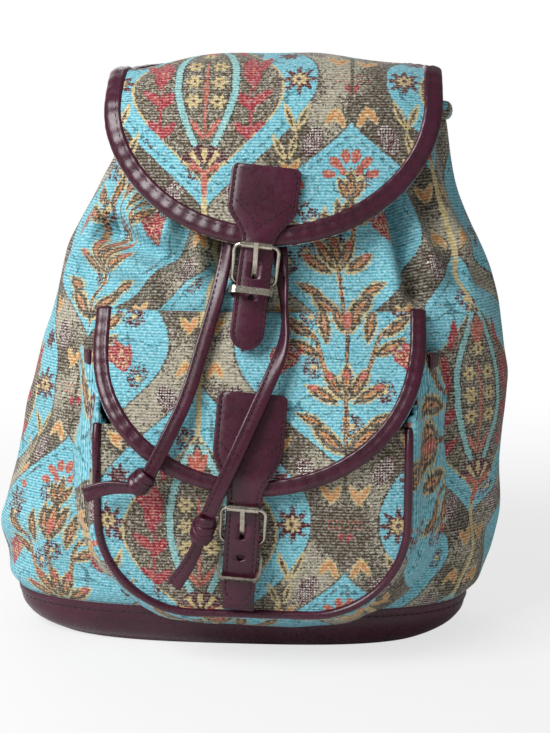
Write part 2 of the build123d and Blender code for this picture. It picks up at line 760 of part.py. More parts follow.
# Small leather tabs at the gusset's upper corners
splay_turn = math.degrees(math.atan(pocket_splay / pocket_reach))
for side, sign in (("left", -1), ("right", 1)):
    depth = pocket_side_depth + side_tab_size / 2
    out = pocket_half_width + pocket_splay * depth / pocket_reach + seam_gap
    with BuildPart() as side_tab:
        with BuildSketch(Plane(origin=(pocket_center + sign * out, -pocket_face + depth, pocket_side_top),
                               x_dir=(sign * math.sin(math.radians(splay_turn)),
                                      math.cos(math.radians(splay_turn)), 0), z_dir=(0, 0, 1))):
            with Locations((0, -sign * side_tab_thickness / 2)):
                RectangleRounded(side_tab_size, side_tab_thickness, side_tab_thickness / 3)
        extrude(amount=-side_tab_size)
    keep(side_tab, "pocket_side_tab_" + side)


# Carrying straps, yoke and grab loop on the back
def body_back_at(x, height):
    """The back of the sack at a place to the side."""
    power = share_at(height, section_powers)
    half = bag_half_width * share_at(height, right_shares if x >= 0 else left_shares)
    return body_back(height) * (1 - (abs(x) / half) ** power) ** (1 / power)


yoke_bottom = mouth_height - yoke_drop
shoulder_top = mouth_height - shoulder_drop
flap_rise_share = (shoulder_top - flap_seam) / (flap_back_turn - flap_seam)
strap_back = flap_seam_out + (flap_turn_out - flap_seam_out) * flap_rise_share + 2 * seam_gap
yoke_back = strap_back + shoulder_thickness + seam_gap
with BuildPart() as strap_yoke:
    with BuildSketch(Plane.XZ.offset(-yoke_back)):
        with Locations((flap_center, yoke_bottom + yoke_height / 2)):
            RectangleRounded(yoke_width, yoke_height, yoke_height / 4)
    extrude(amount=-yoke_thickness)
keep(strap_yoke, "strap_yoke")

loop_foot = yoke_bottom + yoke_height / 4
loop_spring = loop_foot + loop_rise / 2
loop_left, loop_right = flap_center - loop_half_width, flap_center + loop_half_width
with BuildPart() as grab_loop:
    with BuildLine(Plane.XZ.offset(-yoke_back - yoke_thickness - seam_gap - loop_width / 2)) as path:
        foot_left = Line((loop_left, loop_foot), (loop_left, loop_spring))
        EllipticalCenterArc((flap_center, loop_spring), loop_half_width, loop_rise,
                            start_angle=0, arc_size=180)
        Line((loop_right, loop_spring), (loop_right, loop_foot))
    with BuildSketch(Plane(origin=foot_left @ 0, x_dir=(1, 0, 0), z_dir=foot_left % 0)):
        Rectangle(loop_thickness, loop_width)
    sweep(path=path.wire())
keep(grab_loop, "grab_loop")

for side, sign in (("left", -1), ("right", 1)):
    top_x, foot_x = flap_center + sign * shoulder_spacing, sign * anchor_spacing
    anchor_inner = foot_x - sign * anchor_width / 2
    anchor_top = lower_strap_end_height + anchor_height / 2
    anchor_face = body_back_at(anchor_inner, anchor_top) + 2 * seam_gap
    drop = shoulder_top - lower_strap_end_height
    splay = math.atan2(top_x - foot_x, drop)
    up = Vector(math.sin(splay), 0, math.cos(splay))
    hang = Plane(origin=(top_x, 0, shoulder_top), x_dir=(0, 1, 0), z_dir=Vector(0, 1, 0).cross(up))
    slant = math.cos(splay)
    middle = strap_back + shoulder_thickness / 2
    fall = (shoulder_top - shoulder_end_height) / slant
    low = -(shoulder_top - lower_strap_end_height) / slant
    bend = shoulder_bend_share * (fall * bow_share - shoulder_straight)
    with BuildPart() as shoulder_strap:
        with BuildLine(hang) as path:
            FilletPolyline((middle, 0), (middle, -shoulder_straight),
                           (middle + shoulder_bow, -fall * bow_share),
                           (middle + shoulder_bow * end_bow_share, -fall), radius=bend)
        with BuildSketch(Plane(origin=path.line @ 0, x_dir=hang.z_dir, z_dir=path.line % 0)):
            Rectangle(shoulder_width, shoulder_thickness)
        sweep(path=path.line)
    keep(shoulder_strap, "shoulder_strap_" + side)

    foot = Vector(anchor_face + anchor_thickness + seam_gap + lower_strap_thickness / 2, low)
    head = Vector(middle + end_bow_share * shoulder_bow, -fall - seam_gap)
    with BuildPart() as lower_strap:
        with BuildLine(hang) as path:
            FilletPolyline((head.X, head.Y), (foot.X, foot.Y), (foot.X, foot.Y - anchor_height / 3),
                           radius=anchor_height / 4)
        with BuildSketch(Plane(origin=path.line @ 0, x_dir=hang.z_dir, z_dir=path.line % 0)):
            Rectangle(lower_strap_width, lower_strap_thickness)
        sweep(path=path.line)
    keep(lower_strap, "lower_strap_" + side)

    run = (foot - head).normalized()
    clasp_at = hang.from_local_coords(head + run * (adjuster_height / 2 + seam_gap))
    along = hang.from_local_coords(head + run) - hang.from_local_coords(head)
    clasp = Plane(origin=clasp_at, x_dir=hang.z_dir, z_dir=along.cross(hang.z_dir))
    opening = lower_strap_width + 4 * seam_gap
    half_gap = lower_strap_thickness / 2 + seam_gap
    with BuildPart() as adjuster:
        with BuildSketch(clasp.offset(-half_gap - adjuster_thickness)):
            RectangleRounded(opening + 2 * adjuster_rail, adjuster_height, adjuster_rail)
            Rectangle(opening, adjuster_height - 2 * adjuster_rail, mode=Mode.SUBTRACT)
        extrude(amount=adjuster_thickness)
        with BuildSketch(clasp.offset(-half_gap)):
            with GridLocations(opening + adjuster_rail, 0, 2, 1):
                Rectangle(adjuster_rail, adjuster_height / 2)
        extrude(amount=2 * half_gap)
        with BuildSketch(clasp.offset(half_gap)):
            RectangleRounded(opening + 2 * adjuster_rail, adjuster_height / 3, adjuster_rail / 2)
        extrude(amount=adjuster_thickness)
    keep(adjuster, "strap_adjuster_" + side)

    with BuildPart() as anchor:
        with BuildSketch(Plane(origin=(foot_x, anchor_face, lower_strap_end_height),
                               x_dir=(-1, 0, 0), z_dir=(0, 1, 0))):
            RectangleRounded(anchor_width, anchor_height, anchor_height / 5)
        extrude(amount=anchor_thickness)
    keep(anchor, "strap_anchor_" + side)
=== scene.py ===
import math

import bmesh
import bpy
import numpy as np
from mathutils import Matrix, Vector, noise


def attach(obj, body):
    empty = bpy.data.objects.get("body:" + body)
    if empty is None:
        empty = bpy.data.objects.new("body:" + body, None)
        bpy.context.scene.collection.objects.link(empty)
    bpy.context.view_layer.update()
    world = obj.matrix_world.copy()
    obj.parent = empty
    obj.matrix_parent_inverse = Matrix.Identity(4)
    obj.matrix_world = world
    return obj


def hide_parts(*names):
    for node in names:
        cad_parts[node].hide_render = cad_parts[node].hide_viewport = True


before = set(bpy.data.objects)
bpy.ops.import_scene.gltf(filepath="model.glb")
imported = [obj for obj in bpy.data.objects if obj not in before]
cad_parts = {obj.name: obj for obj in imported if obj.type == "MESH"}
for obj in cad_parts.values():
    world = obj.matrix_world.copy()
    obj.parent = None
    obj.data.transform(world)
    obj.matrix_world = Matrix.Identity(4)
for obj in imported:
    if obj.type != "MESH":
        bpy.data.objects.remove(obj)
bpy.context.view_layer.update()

# The sack: heavy tapestry cloth, one wrap for the front and sides and a panel for the back, gathered
# at the mouth and sewn to the boot. It bulges low on the left, leans and hangs in soft folds.
mm = 0.001
bag_half_width = 165 * mm
mouth_height = 330 * mm
front_reach = 76 * mm
back_reach = 62 * mm
cloth_thickness = 3 * mm
gather_depth = 6 * mm
gather_count = 12
height_shares = (0.082, 0.17, 0.33, 0.515, 0.65, 0.77, 0.88, 1)
left_shares = (0.915, 0.985, 0.915, 0.815, 0.745, 0.675, 0.57, 0.44)
right_shares = (0.89, 0.985, 1.018, 1.024, 0.985, 0.905, 0.825, 0.775)
front_shares = (0.83, 0.91, 0.985, 1, 0.95, 0.86, 0.75, 0.61)
back_shares = (0.97, 1, 1.02, 1.01, 0.985, 0.95, 0.87, 0.76)
gather_shares = (0, 0, 0, 0, 0.1, 0.45, 0.8, 1)
corner_powers = (2.9, 2.8, 2.6, 2.6, 2.6, 2.6, 2.6, 2.6)


def smooth_line(knots, values, places):
    """A smooth line through values at knots, read at places."""
    knots, values, places = (np.asarray(each, float) for each in (knots, values, places))
    slopes = np.gradient(values, knots)
    cell = np.clip(np.searchsorted(knots, places) - 1, 0, len(knots) - 2)
    width = knots[cell + 1] - knots[cell]
    t = (places - knots[cell]) / width
    rise = (1 + 2 * t) * (1 - t) ** 2 * values[cell] + t * t * (3 - 2 * t) * values[cell + 1]
    return rise + width * (t * (1 - t) ** 2 * slopes[cell] + t * t * (t - 1) * slopes[cell + 1])


def squared(wave, power):
    """A wave raised to a power with its sign kept, to square off an oval."""
    return np.sign(wave) * np.abs(wave) ** power


def run_along(points):
    """How far along a line each of its points lies."""
    return np.concatenate([[0], np.cumsum(np.linalg.norm(np.diff(points, axis=0), axis=1))])


def soft_dents(points, scale, depth):
    """Small smooth moves of cloth or leather, by place."""
    moves = [noise.noise(Vector(point) * scale) for point in points.reshape(-1, 3)]
    return np.array(moves).reshape(points.shape[:-1]) * depth


def sack_wall(turn, height, grow=0):
    """Points of the sack's outside at turns round it and heights, grown outwards."""
    share = height / mouth_height
    left, right, front, back, gather, corner = (
        smooth_line(height_shares, table, share)
        for table in (left_shares, right_shares, front_shares, back_shares, gather_shares, corner_powers))
    across, along = np.cos(turn), np.sin(turn)
    wave = gather_depth * gather * (np.cos(gather_count * turn) - 1) / 2 + grow
    width = bag_half_width * np.where(across >= 0, right, left) + wave
    depth = np.where(along >= 0, back_reach * back, front_reach * front) + wave
    x = width * squared(across, 2 / corner)
    y = depth * squared(along, 2 / corner)
    return np.stack([x, y, height + 0 * x], -1)


def face_normals(points):
    """Outward directions of a grid whose rows run round and whose columns run up."""
    run = np.gradient(points, axis=1)
    rise = np.gradient(points, axis=0)
    normals = np.cross(run, rise)
    return normals / np.maximum(np.linalg.norm(normals, axis=-1, keepdims=True), 1e-12)


def add_piece(name, mesh, material):
    """A smooth piece of one material."""
    mesh.polygons.foreach_set("use_smooth", [True] * len(mesh.polygons))
    mesh.materials.append(material)
    piece = bpy.data.objects.new(name, mesh)
    bpy.context.scene.collection.objects.link(piece)
    return piece


def grid_piece(name, points, threads, material):
    """A quad mesh from a grid of points, with its cloth coordinates in metres as its UV map."""
    rows, columns = points.shape[:2]
    index = np.arange(rows * columns).reshape(rows, columns)
    quads = np.stack([index[:-1, :-1], index[:-1, 1:], index[1:, 1:], index[1:, :-1]], -1).reshape(-1, 4)
    mesh = bpy.data.meshes.new(name)
    mesh.from_pydata(points.reshape(-1, 3).tolist(), [], quads.tolist())
    layer = mesh.uv_layers.new(name="threads")
    layer.data.foreach_set("uv", threads.reshape(-1, 2)[quads.reshape(-1)].reshape(-1).astype(np.float32))
    return add_piece(name, mesh, material)


def belongs(piece, slot, *nodes):
    """Ties a piece to the bag and hides the solids it stands for. The slot of material is not used."""
    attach(piece, "bag")
    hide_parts(*nodes)


def thicken(piece, thickness):
    """Gives a sheet its thickness behind the outer face."""
    wall = piece.modifiers.new("cloth", "SOLIDIFY")
    wall.thickness = thickness
    wall.offset = -1


def add_node(tree, kind, settings, inputs):
    """One node, with its settings and with sockets or numbers on its inputs."""
    made = tree.nodes.new(kind)
    for name, value in settings.items():
        setattr(made, name, value)
    for place, value in inputs.items():
        if isinstance(value, bpy.types.NodeSocket):
            tree.links.new(value, made.inputs[place])
        else:
            made.inputs[place].default_value = value
    return made


def add_material(name):
    """A new material and its empty tree of nodes."""
    material = bpy.data.materials.new(name)
    material.use_nodes = True
    material.node_tree.nodes.clear()
    return material, material.node_tree


def add_noise(tree, place, scale, detail, dimensions="3D", **inputs):
    """Cloudy noise by place."""
    return add_node(tree, "ShaderNodeTexNoise", {"noise_dimensions": dimensions}, {
        "Vector": place, "Scale": scale, "Detail": detail, **inputs}).outputs


def ranged(tree, value, low, high, least, most):
    """A value that goes from least to most while another goes from low to high."""
    inputs = {0: value, 1: low, 2: high, 3: least, 4: most}
    return add_node(tree, "ShaderNodeMapRange", {}, inputs).outputs[0]


def sums(tree, operation, *values):
    """One step of arithmetic on sockets or numbers."""
    return add_node(tree, "ShaderNodeMath", {"operation": operation}, dict(enumerate(values))).outputs[0]


def linear(red, green, blue):
    """A colour given in the 0 to 255 steps of a screen, as light."""
    steps = [level / 255 for level in (red, green, blue)]
    return (*(s / 12.92 if s <= 0.04045 else ((s + 0.055) / 1.055) ** 2.4 for s in steps), 1)


def paint(tree, ground, mask, color):
    """A colour laid over the ground wherever the mask is 1."""
    mixed = add_node(tree, "ShaderNodeMix", {"data_type": "RGBA"}, {0: mask, 6: ground, 7: color})
    return mixed.outputs[2]


tapestry, loom = add_material("tapestry_cloth")


def knit(operation, *values):
    """One step of arithmetic in the tapestry's pattern."""
    return sums(loom, operation, *values)


class Weave:
    """The colour of the tapestry, with each thread laid over the ones before it."""

    def __init__(self, ground):
        self.color = ground

    def lay(self, mask, thread):
        """Lays a thread wherever the mask is 1."""
        self.color = paint(loom, self.color, mask, thread)

    def fill(self, reach, edge, thread):
        """Fills a motif with a thread out to its edge."""
        self.lay(inside(reach, edge), thread)


def local_place(place, spot):
    """The plane seen from a spot: middle x and y, half width, half length and turn."""
    x, y, half_width, half_length, turn = spot
    cosine, sine = math.cos(math.radians(turn)), math.sin(math.radians(turn))
    beside = knit("MULTIPLY_ADD", place[1], sine / half_width, -(x * cosine + y * sine) / half_width)
    beside = knit("MULTIPLY_ADD", place[0], cosine / half_width, beside)
    along = knit("MULTIPLY_ADD", place[1], cosine / half_length, (x * sine - y * cosine) / half_length)
    return beside, knit("MULTIPLY_ADD", place[0], -sine / half_length, along)


def nearest(place, spots, reach_of):
    """The shortest reach from a place to any of the spots."""
    shortest = None
    for spot in spots:
        reach = reach_of(*local_place(place, spot))
        shortest = reach if shortest is None else knit("MINIMUM", shortest, reach)
    return shortest


def ovals(place, *spots):
    """The square of how far a place is from the nearest oval's middle, 1 at its edge."""
    return nearest(place, spots, lambda beside, along: knit(
        "MULTIPLY_ADD", beside, beside, knit("MULTIPLY", along, along)))


def leaves(place, *spots):
    """How far a place is from the nearest pointed leaf's rib, 1 at its edge."""
    return nearest(place, spots, lambda beside, along: knit(
        "MULTIPLY_ADD", along, along, knit("ABSOLUTE", beside)))


def rosette(place, spot, petals):
    """How far a place is from a flower with petals round it, 1 at their edge."""
    beside, along = local_place(place, spot)
    angle = knit("ARCTAN2", along, beside)
    ripple = knit("MULTIPLY_ADD", knit("COSINE", knit("MULTIPLY", angle, petals)), 0.24, 0.76)
    reach = knit("SQRT", knit("MULTIPLY_ADD", beside, beside, knit("MULTIPLY", along, along)))
    return knit("DIVIDE", reach, ripple)


def inside(reach, edge):
    """Where a reach is short of an edge."""
    return knit("LESS_THAN", reach, edge)


def beyond(reach, edge):
    """Where a reach is past an edge."""
    return knit("GREATER_THAN", reach, edge)


def folded(place, half):
    """How far a place is from the middle of its repeat, which is two halves wide."""
    return knit("ABSOLUTE", knit("WRAP", place, half, -half))


def all_of(*masks):
    """Where every mask is 1."""
    both = masks[0]
    for mask in masks[1:]:
        both = knit("MULTIPLY", both, mask)
    return both


def ogee(x, y, half_width, half_height, middle, power):
    """How far inside a pointed medallion's edge a place lies, across the cloth."""
    share = knit("MULTIPLY_ADD", y, 1 / half_height, -middle / half_height)
    share = knit("MINIMUM", knit("ABSOLUTE", share), 1)
    arch = knit("MULTIPLY_ADD", knit("COSINE", knit("MULTIPLY", share, math.pi)), 0.5, 0.5)
    return knit("MULTIPLY_ADD", knit("POWER", arch, power), half_width, knit("MULTIPLY", x, -1))


# Dyes of the tapestry's threads
turquoise = linear(112, 194, 212)
deep_turquoise = linear(52, 128, 142)
pale_turquoise = linear(140, 196, 196)
olive = linear(84, 70, 54)
greige = linear(170, 162, 142)
crimson = linear(164, 40, 56)
coral = linear(192, 96, 78)
orange = linear(208, 142, 82)
yellow = linear(208, 186, 130)
maroon = linear(84, 24, 40)
dark_thread = linear(48, 40, 38)
cream = linear(214, 216, 204)
pattern_width = 172
pattern_height = 212
thread_pitch = 0.8

threads_in = add_node(loom, "ShaderNodeUVMap", {"uv_map": "threads"}, {}).outputs[0]
cloth_place = add_node(loom, "ShaderNodeMapping", {}, {0: threads_in, 3: (1000, 1000, 1)}).outputs[0]
wander = add_noise(loom, cloth_place, 0.9, 1, "2D")["Color"]
shifted = add_node(loom, "ShaderNodeVectorMath", {"operation": "MULTIPLY_ADD"}, {
    0: wander, 1: (2.2, 1.6, 0), 2: cloth_place})
snapped = add_node(loom, "ShaderNodeVectorMath", {"operation": "SNAP"}, {
    0: shifted.outputs[0], 1: (thread_pitch, thread_pitch, 1)})
thread_place = snapped.outputs[0]
cloth_x, cloth_y = add_node(loom, "ShaderNodeSeparateXYZ", {}, {0: thread_place}).outputs[:2]
half_w, half_h = pattern_width / 2, pattern_height / 2
xb = folded(cloth_x, half_w)
yb = knit("WRAP", cloth_y, half_h, -half_h)
xa = knit("SUBTRACT", half_w, xb)
ya = knit("WRAP", knit("ADD", cloth_y, half_h), half_h, -half_h)
bouquet = (xb, yb)
medallion = (xa, ya)
crossing = (xb, ya)
waist = (xa, yb)
fleck = add_node(loom, "ShaderNodeTexWhiteNoise", {"noise_dimensions": "2D"}, {0: thread_place}).outputs[0]
ragged = knit("MULTIPLY_ADD", fleck, 0.3, 0.88)

# Ground between the medallions: olive that turns to greige in patches, flecked with both
drift = add_noise(loom, cloth_place, 0.022, 1, "2D")[0]
patch = knit("MULTIPLY_ADD", drift, 4.2, -1.75)
ground_mix = beyond(knit("MULTIPLY_ADD", fleck, -0.9, patch), 0)
weave = Weave(olive)
weave.lay(ground_mix, greige)
specks = beyond(fleck, 0.93)
weave.lay(specks, dark_thread)

# Dotted pods, orange florets and a red heart with a drop where the ground bands cross
pods = knit("MINIMUM",
            ovals(crossing, (22, 31, 5.2, 9.5, -28), (22, -42, 5.2, 9.5, 28)),
            ovals(waist, (19, 33, 5.2, 9, 32), (19, -33, 5.2, 9, -30)))
weave.fill(pods, ragged, maroon)
seed_u = folded(cloth_x, 0.8)
seed_v = folded(cloth_y, 0.8)
seeds = all_of(inside(knit("ADD", seed_u, seed_v), 0.5), inside(pods, 0.95))
weave.lay(seeds, cream)
florets = knit("MINIMUM",
               leaves(crossing, (6, 17, 2.1, 7, 28), (11, 18, 2.1, 6.5, -34), (6.5, -29, 2.1, 7, -24),
                      (11.5, -27, 2.1, 6.5, 34), (36, 47, 2.2, 6.5, 40), (39, 49, 2.1, 6.5, -40),
                      (34, -58, 2.1, 6.5, 34), (37, -59, 2.1, 6.5, -40)),
               leaves(waist, (6, 12, 2.1, 6.5, 28), (10, 12, 2.1, 6, -34), (7, -15, 2.1, 6.5, -28),
                      (11, -15, 2.1, 6, 30)))
weave.fill(florets, knit("MULTIPLY", ragged, 1.15), yellow)
weave.fill(florets, knit("MULTIPLY", ragged, 0.72), orange)
heart = ovals(crossing, (1.8, -8.5, 2.6, 2.4, 30), (0, -10.5, 2, 3, 0))
weave.fill(heart, ragged, crimson)
weave.lay(inside(ovals(crossing, (0, -15.5, 1.5, 2.4, 0)), 1), yellow)
bead = inside(folded(xb, 1.2), 0.6)
bead_rows = knit("MAXIMUM", knit("COMPARE", ya, -3.2, 0.9), knit("COMPARE", ya, 0.8, 0.9))
weave.lay(all_of(bead, bead_rows, inside(xb, 11)), coral)

# Turquoise medallions with a dark edge, the second kind filled with olive
edge_b = ogee(xb, yb, 66, 75, 0, 0.62)
edge_a = ogee(xa, ya, 66, 83, 0, 0.62)
edge = knit("MAXIMUM", edge_a, edge_b)
weave.lay(beyond(edge, -1.3), olive)
weave.lay(beyond(edge, 0), turquoise)
on_turquoise = beyond(edge, 4)
tendril = add_noise(loom, thread_place, 0.05, 0, "2D")[0]
tendril = inside(knit("ABSOLUTE", knit("SUBTRACT", tendril, 0.5)), 0.012)
weave.lay(all_of(on_turquoise, tendril), deep_turquoise)
blossom = add_node(loom, "ShaderNodeTexVoronoi", {"voronoi_dimensions": "2D"}, {
    "Vector": thread_place, "Scale": 0.027, "Randomness": 1}).outputs["Distance"]
blossom_in = all_of(on_turquoise, inside(blossom, knit("MULTIPLY", ragged, 0.19)))
weave.lay(all_of(blossom_in, inside(fleck, 0.62)), maroon)
weave.lay(all_of(on_turquoise, inside(blossom, 0.05)), yellow)
dot_rows = knit("COMPARE", edge, 6, 1.1)
dot_step = inside(folded(cloth_y, 2.2), 0.85)
upper_b = all_of(beyond(edge_b, 0), beyond(yb, 22))
upper_a = all_of(beyond(edge_a, 0), beyond(knit("ABSOLUTE", ya), 30))
upper = knit("MAXIMUM", upper_b, upper_a)
weave.lay(all_of(dot_rows, dot_step, upper), deep_turquoise)
edge_in = ogee(xa, ya, 45, 60, -8, 0.62)
weave.lay(beyond(edge_in, -1.4), yellow)
in_medallion = beyond(edge_in, 0)
weave.lay(in_medallion, olive)
weave.lay(all_of(in_medallion, beyond(fleck, 0.8)), greige)

# Medallion: red tulips beside a slim turquoise ogee of daisies, over a striped calyx and a pendant
tulips = leaves(medallion, (27, 6, 5.6, 15, 6), (32, -15, 3, 10, -52), (23.5, -17, 3, 9, 42),
                (29.5, -35, 2.7, 8, -55), (22.5, -36, 2.7, 7.5, 45), (19, 33, 2.6, 10, 14),
                (35, 14, 2.6, 9, -18))
stalks = ovals(medallion, (27, -24, 0.9, 16, 3))
weave.lay(inside(knit("MINIMUM", tulips, stalks), ragged), crimson)
weave.fill(tulips, 0.16, coral)
slim = knit("ABSOLUTE", ogee(xa, ya, 17.5, 54, -2, 0.5))
slim_run = knit("COMPARE", ya, -3, 49)
weave.lay(all_of(slim_run, inside(slim, 2.9)), dark_thread)
weave.lay(all_of(slim_run, inside(slim, 2.1)), pale_turquoise)
stem = ovals(medallion, (0, -12, 1.2, 27, 0), (5, -35, 1.6, 7.5, -34), (0, 37, 2.6, 7, 0),
             (3.2, 34, 1.7, 7.5, -18))
weave.fill(stem, ragged, coral)
daisy_y = knit("WRAP", knit("ADD", ya, 4), 6.6, -6.6)
daisies = rosette((xa, daisy_y), (7.4, 0, 5.2, 5.2, 0), 6)
daisy_run = knit("COMPARE", ya, -4, 20)
top_daisy = rosette(medallion, (0, 24, 5, 5, 0), 6)
weave.lay(all_of(daisy_run, inside(daisies, 1)), yellow)
weave.lay(all_of(daisy_run, inside(daisies, 0.34)), maroon)
weave.fill(top_daisy, 1, yellow)
weave.fill(top_daisy, 0.34, maroon)
fan_y = knit("ADD", ya, 60)
fan_angle = knit("ARCTAN2", xa, fan_y)
fan_reach = knit("SQRT", knit("MULTIPLY_ADD", xa, xa, knit("MULTIPLY", fan_y, fan_y)))
fan = all_of(knit("COMPARE", fan_reach, 10, 5.5), inside(fan_angle, 1.25))
stripe = beyond(knit("COSINE", knit("MULTIPLY", fan_angle, 10)), 0.15)
weave.lay(fan, maroon)
weave.lay(all_of(fan, stripe, inside(fan_reach, 14)), yellow)
pendant = ovals(medallion, (0, -67, 1.9, 8.5, 0), (4.4, -58, 1.3, 5, -52), (7.6, -57, 1.2, 3, 10))
weave.fill(pendant, ragged, coral)
bloom = rosette(medallion, (55, -2, 10.5, 10.5, 0), 8)
small_bloom = rosette(medallion, (48, 26, 7, 7, 0), 7)
weave.lay(inside(knit("MINIMUM", bloom, small_bloom), ragged), maroon)
weave.fill(bloom, 0.52, yellow)
weave.fill(bloom, 0.2, maroon)
sprigs = leaves(medallion, (50, -28, 2.3, 10, 20), (58, -27, 2.3, 10, -24), (44, -46, 2.2, 9, 26),
                (52, -45, 2, 8, -16))
weave.fill(sprigs, ragged, yellow)
weave.fill(sprigs, 0.45, olive)

# Bouquet: outlined leaves and tulip on one stem, pomegranates beside it, carnations above
plant = knit("MINIMUM",
             leaves(bouquet, (10, -55, 4.2, 13, -48), (0, -21, 3.4, 10, 0), (7.5, -23, 3.4, 11, -30),
                    (14, -29, 3.2, 10.5, -60), (25, -1, 3, 10.5, -62), (30, 12, 3, 9.5, -48),
                    (13.5, 13, 3.2, 11.5, -8), (0, 20, 4.6, 13, 0), (5.2, 19, 3.4, 11, -15),
                    (0, 39, 3, 9, 0), (4, 36, 2.6, 7.5, -26), (20, -44, 2.6, 9, -66)),
             ovals(bouquet, (0, -44, 1.4, 24, 0), (0, 2, 1.3, 16, 0), (15, -7, 1.3, 15, -16),
                   (22, 8, 1.2, 9, -40)))
weave.fill(plant, knit("MULTIPLY", ragged, 1.3), yellow)
weave.fill(plant, ragged, olive)
weave.fill(plant, knit("MULTIPLY", ragged, 0.34), orange)
weave.fill(plant, 0.1, maroon)
hearts = ovals(bouquet, (0, 16, 2.5, 5.5, 0), (0, -17, 1.7, 3, 0), (10, -18, 1.8, 3, -30),
               (19, -25, 1.7, 3, -60))
weave.fill(hearts, ragged, coral)
fruit = leaves(bouquet, (37, -8, 5.4, 10.5, 20), (32.5, -8, 3.4, 9.5, 44), (41.5, -9.5, 3.4, 9.5, -6))
weave.fill(fruit, ragged, crimson)
weave.lay(all_of(inside(fruit, 0.8), beyond(fleck, 0.78)), yellow)
carnation = rosette(bouquet, (34, 27, 9, 9, 20), 7)
weave.fill(carnation, ragged, maroon)
weave.lay(all_of(inside(carnation, 0.85), beyond(fleck, 0.62)), pale_turquoise)
petals = ovals(bouquet, (3, 55, 2.6, 4, -14), (9, 51.5, 2.6, 4, -46), (13, 45, 2.4, 3.6, -78),
               (30, 39, 2.2, 3.2, -50), (5, 47, 2, 3, -30))
weave.fill(petals, ragged, coral)

# Uneven yarn: single threads run darker or paler than their dye
slub = add_noise(loom, thread_place, 0.42, 2, "2D", Roughness=0.8)[0]
dark_slub = ranged(loom, slub, 0.5, 0.3, 0, 0.36)
pale_slub = ranged(loom, slub, 0.54, 0.75, 0, 0.42)
weave.lay(dark_slub, dark_thread)
weave.lay(pale_slub, cream)

# Chenille weft: thick horizontal ribs, broken up along their run, with painted highlights where they catch
# the light and painted shade between them
across_in = add_node(loom, "ShaderNodeSeparateXYZ", {}, {0: threads_in})
rib_grain = add_noise(loom, threads_in, 620, 3, "2D", Roughness=0.7)[0]
rib_pitch = 0.0018
rib_shift = knit("MULTIPLY", rib_grain, 5)
rib_wave = knit("SINE", knit("MULTIPLY_ADD", across_in.outputs[1], 2 * math.pi / rib_pitch, rib_shift))
rib_level = knit("MULTIPLY_ADD", rib_wave, 0.16, rib_grain)
# Painted highlight: cream laid on the crests of the ribs
rib_painted_highlight = ranged(loom, rib_level, 0.52, 0.82, 0, 0.42)
weave.lay(rib_painted_highlight, cream)
# Painted shade and light: the colour scaled from 0.5 between the ribs to 1.1 on their crests
rib_painted_shading = ranged(loom, rib_level, 0.22, 0.66, 0.5, 1.1)
shaded = add_node(loom, "ShaderNodeVectorMath", {"operation": "SCALE"}, {0: weave.color, "Scale": rib_painted_shading})
bumped = add_node(loom, "ShaderNodeBump", {}, {"Strength": 0.7, "Distance": 0.0006, "Height": rib_level})
cloth_face = add_node(loom, "ShaderNodeBsdfPrincipled", {}, {
    "Base Color": shaded.outputs[0], "Roughness": 0.85, "Normal": bumped.outputs[0],
    "Sheen Weight": 0.12, "Sheen Roughness": 0.5, "Specular IOR Level": 0.2})
add_node(loom, "ShaderNodeOutputMaterial", {}, {0: cloth_face.outputs[0]})

# Folds: from and to as run along the front and height, width and depth
sack_folds = (
    ((121, 318), (117, 230), 7.5, 15), ((138, 300), (152, 240), 8, 6), ((-16, 300), (-9, 240), 9, 20),
    ((-112, 264), (-20, 242), 7.5, 14), ((-124, 240), (-70, 226), 8, 6), ((-86, 290), (-66, 272), 7, 6),
    ((60, 318), (66, 268), 8, 4), ((-48, 316), (-40, 258), 8, 7), ((126, 224), (184, 238), 11, 5.5),
    ((-128, 150), (-150, 120), 12, 3.5), ((150, 92), (182, 66), 12, 4), ((-120, 62), (-160, 52), 10, 3.5),
    ((232, 250), (210, 190), 10, 3), ((-190, 240), (-182, 190), 10, 3), ((300, 300), (310, 240), 9, 4),
    ((-260, 300), (-270, 240), 9, 4), ((350, 150), (420, 120), 12, 3))
sack_columns, sack_rows = 361, 104
boot_top = height_shares[0] * mouth_height
turn_steps = np.linspace(math.pi / 2, 2.5 * math.pi, sack_columns)
row_heights = np.linspace(boot_top, mouth_height, sack_rows)
turn_grid, height_grid = np.meshgrid(turn_steps, row_heights)
girth_share = 0.45
run = run_along(sack_wall(turn_steps, girth_share * mouth_height))
run -= np.interp(1.5 * math.pi, turn_steps, run)
run_grid = np.broadcast_to(run, turn_grid.shape)
sack_points = sack_wall(turn_grid, height_grid)
ridge_share, ridge_most, ridge_place = 0.45, 2.6, 1.8
fold_shift = np.zeros(turn_grid.shape)
for (run_a, height_a), (run_b, height_b), width, depth in sack_folds:
    a = np.array([run_a, height_a]) * mm
    b = np.array([run_b, height_b]) * mm
    place = np.stack([run_grid, height_grid], -1) - a
    share = np.clip((place @ (b - a)) / ((b - a) @ (b - a)), 0, 1)
    away = np.linalg.norm(place - share[..., None] * (b - a), axis=-1) / (width * mm)
    ridge = min(ridge_share * depth, ridge_most)
    fold_shift += mm * (ridge * np.exp(-(away - ridge_place) ** 2) - depth * np.exp(-away ** 2))
soft = (soft_dents(sack_points, 16, 2.6) + soft_dents(sack_points, 42, 0.9)) * mm
mouth_ease, boot_ease = 20 * mm, 14 * mm
roll_depth, roll_rise, roll_width = 2.5 * mm, 9 * mm, 7 * mm
held = np.clip((mouth_height - height_grid) / mouth_ease, 0, 1)
held *= np.clip((height_grid - boot_top) / boot_ease, 0, 1)
seam_roll = roll_depth * np.exp(-((height_grid - boot_top - roll_rise) / roll_width) ** 2)
sack_points += face_normals(sack_points) * ((fold_shift + soft) * held + seam_roll)[..., None]
body_bouquet = np.array([70, 62]) * mm
sack = grid_piece("sack", sack_points, np.stack([run_grid, height_grid], -1) - body_bouquet, tapestry)
thicken(sack, cloth_thickness)
belongs(sack, "tapestry", "front_wrap", "back_panel")

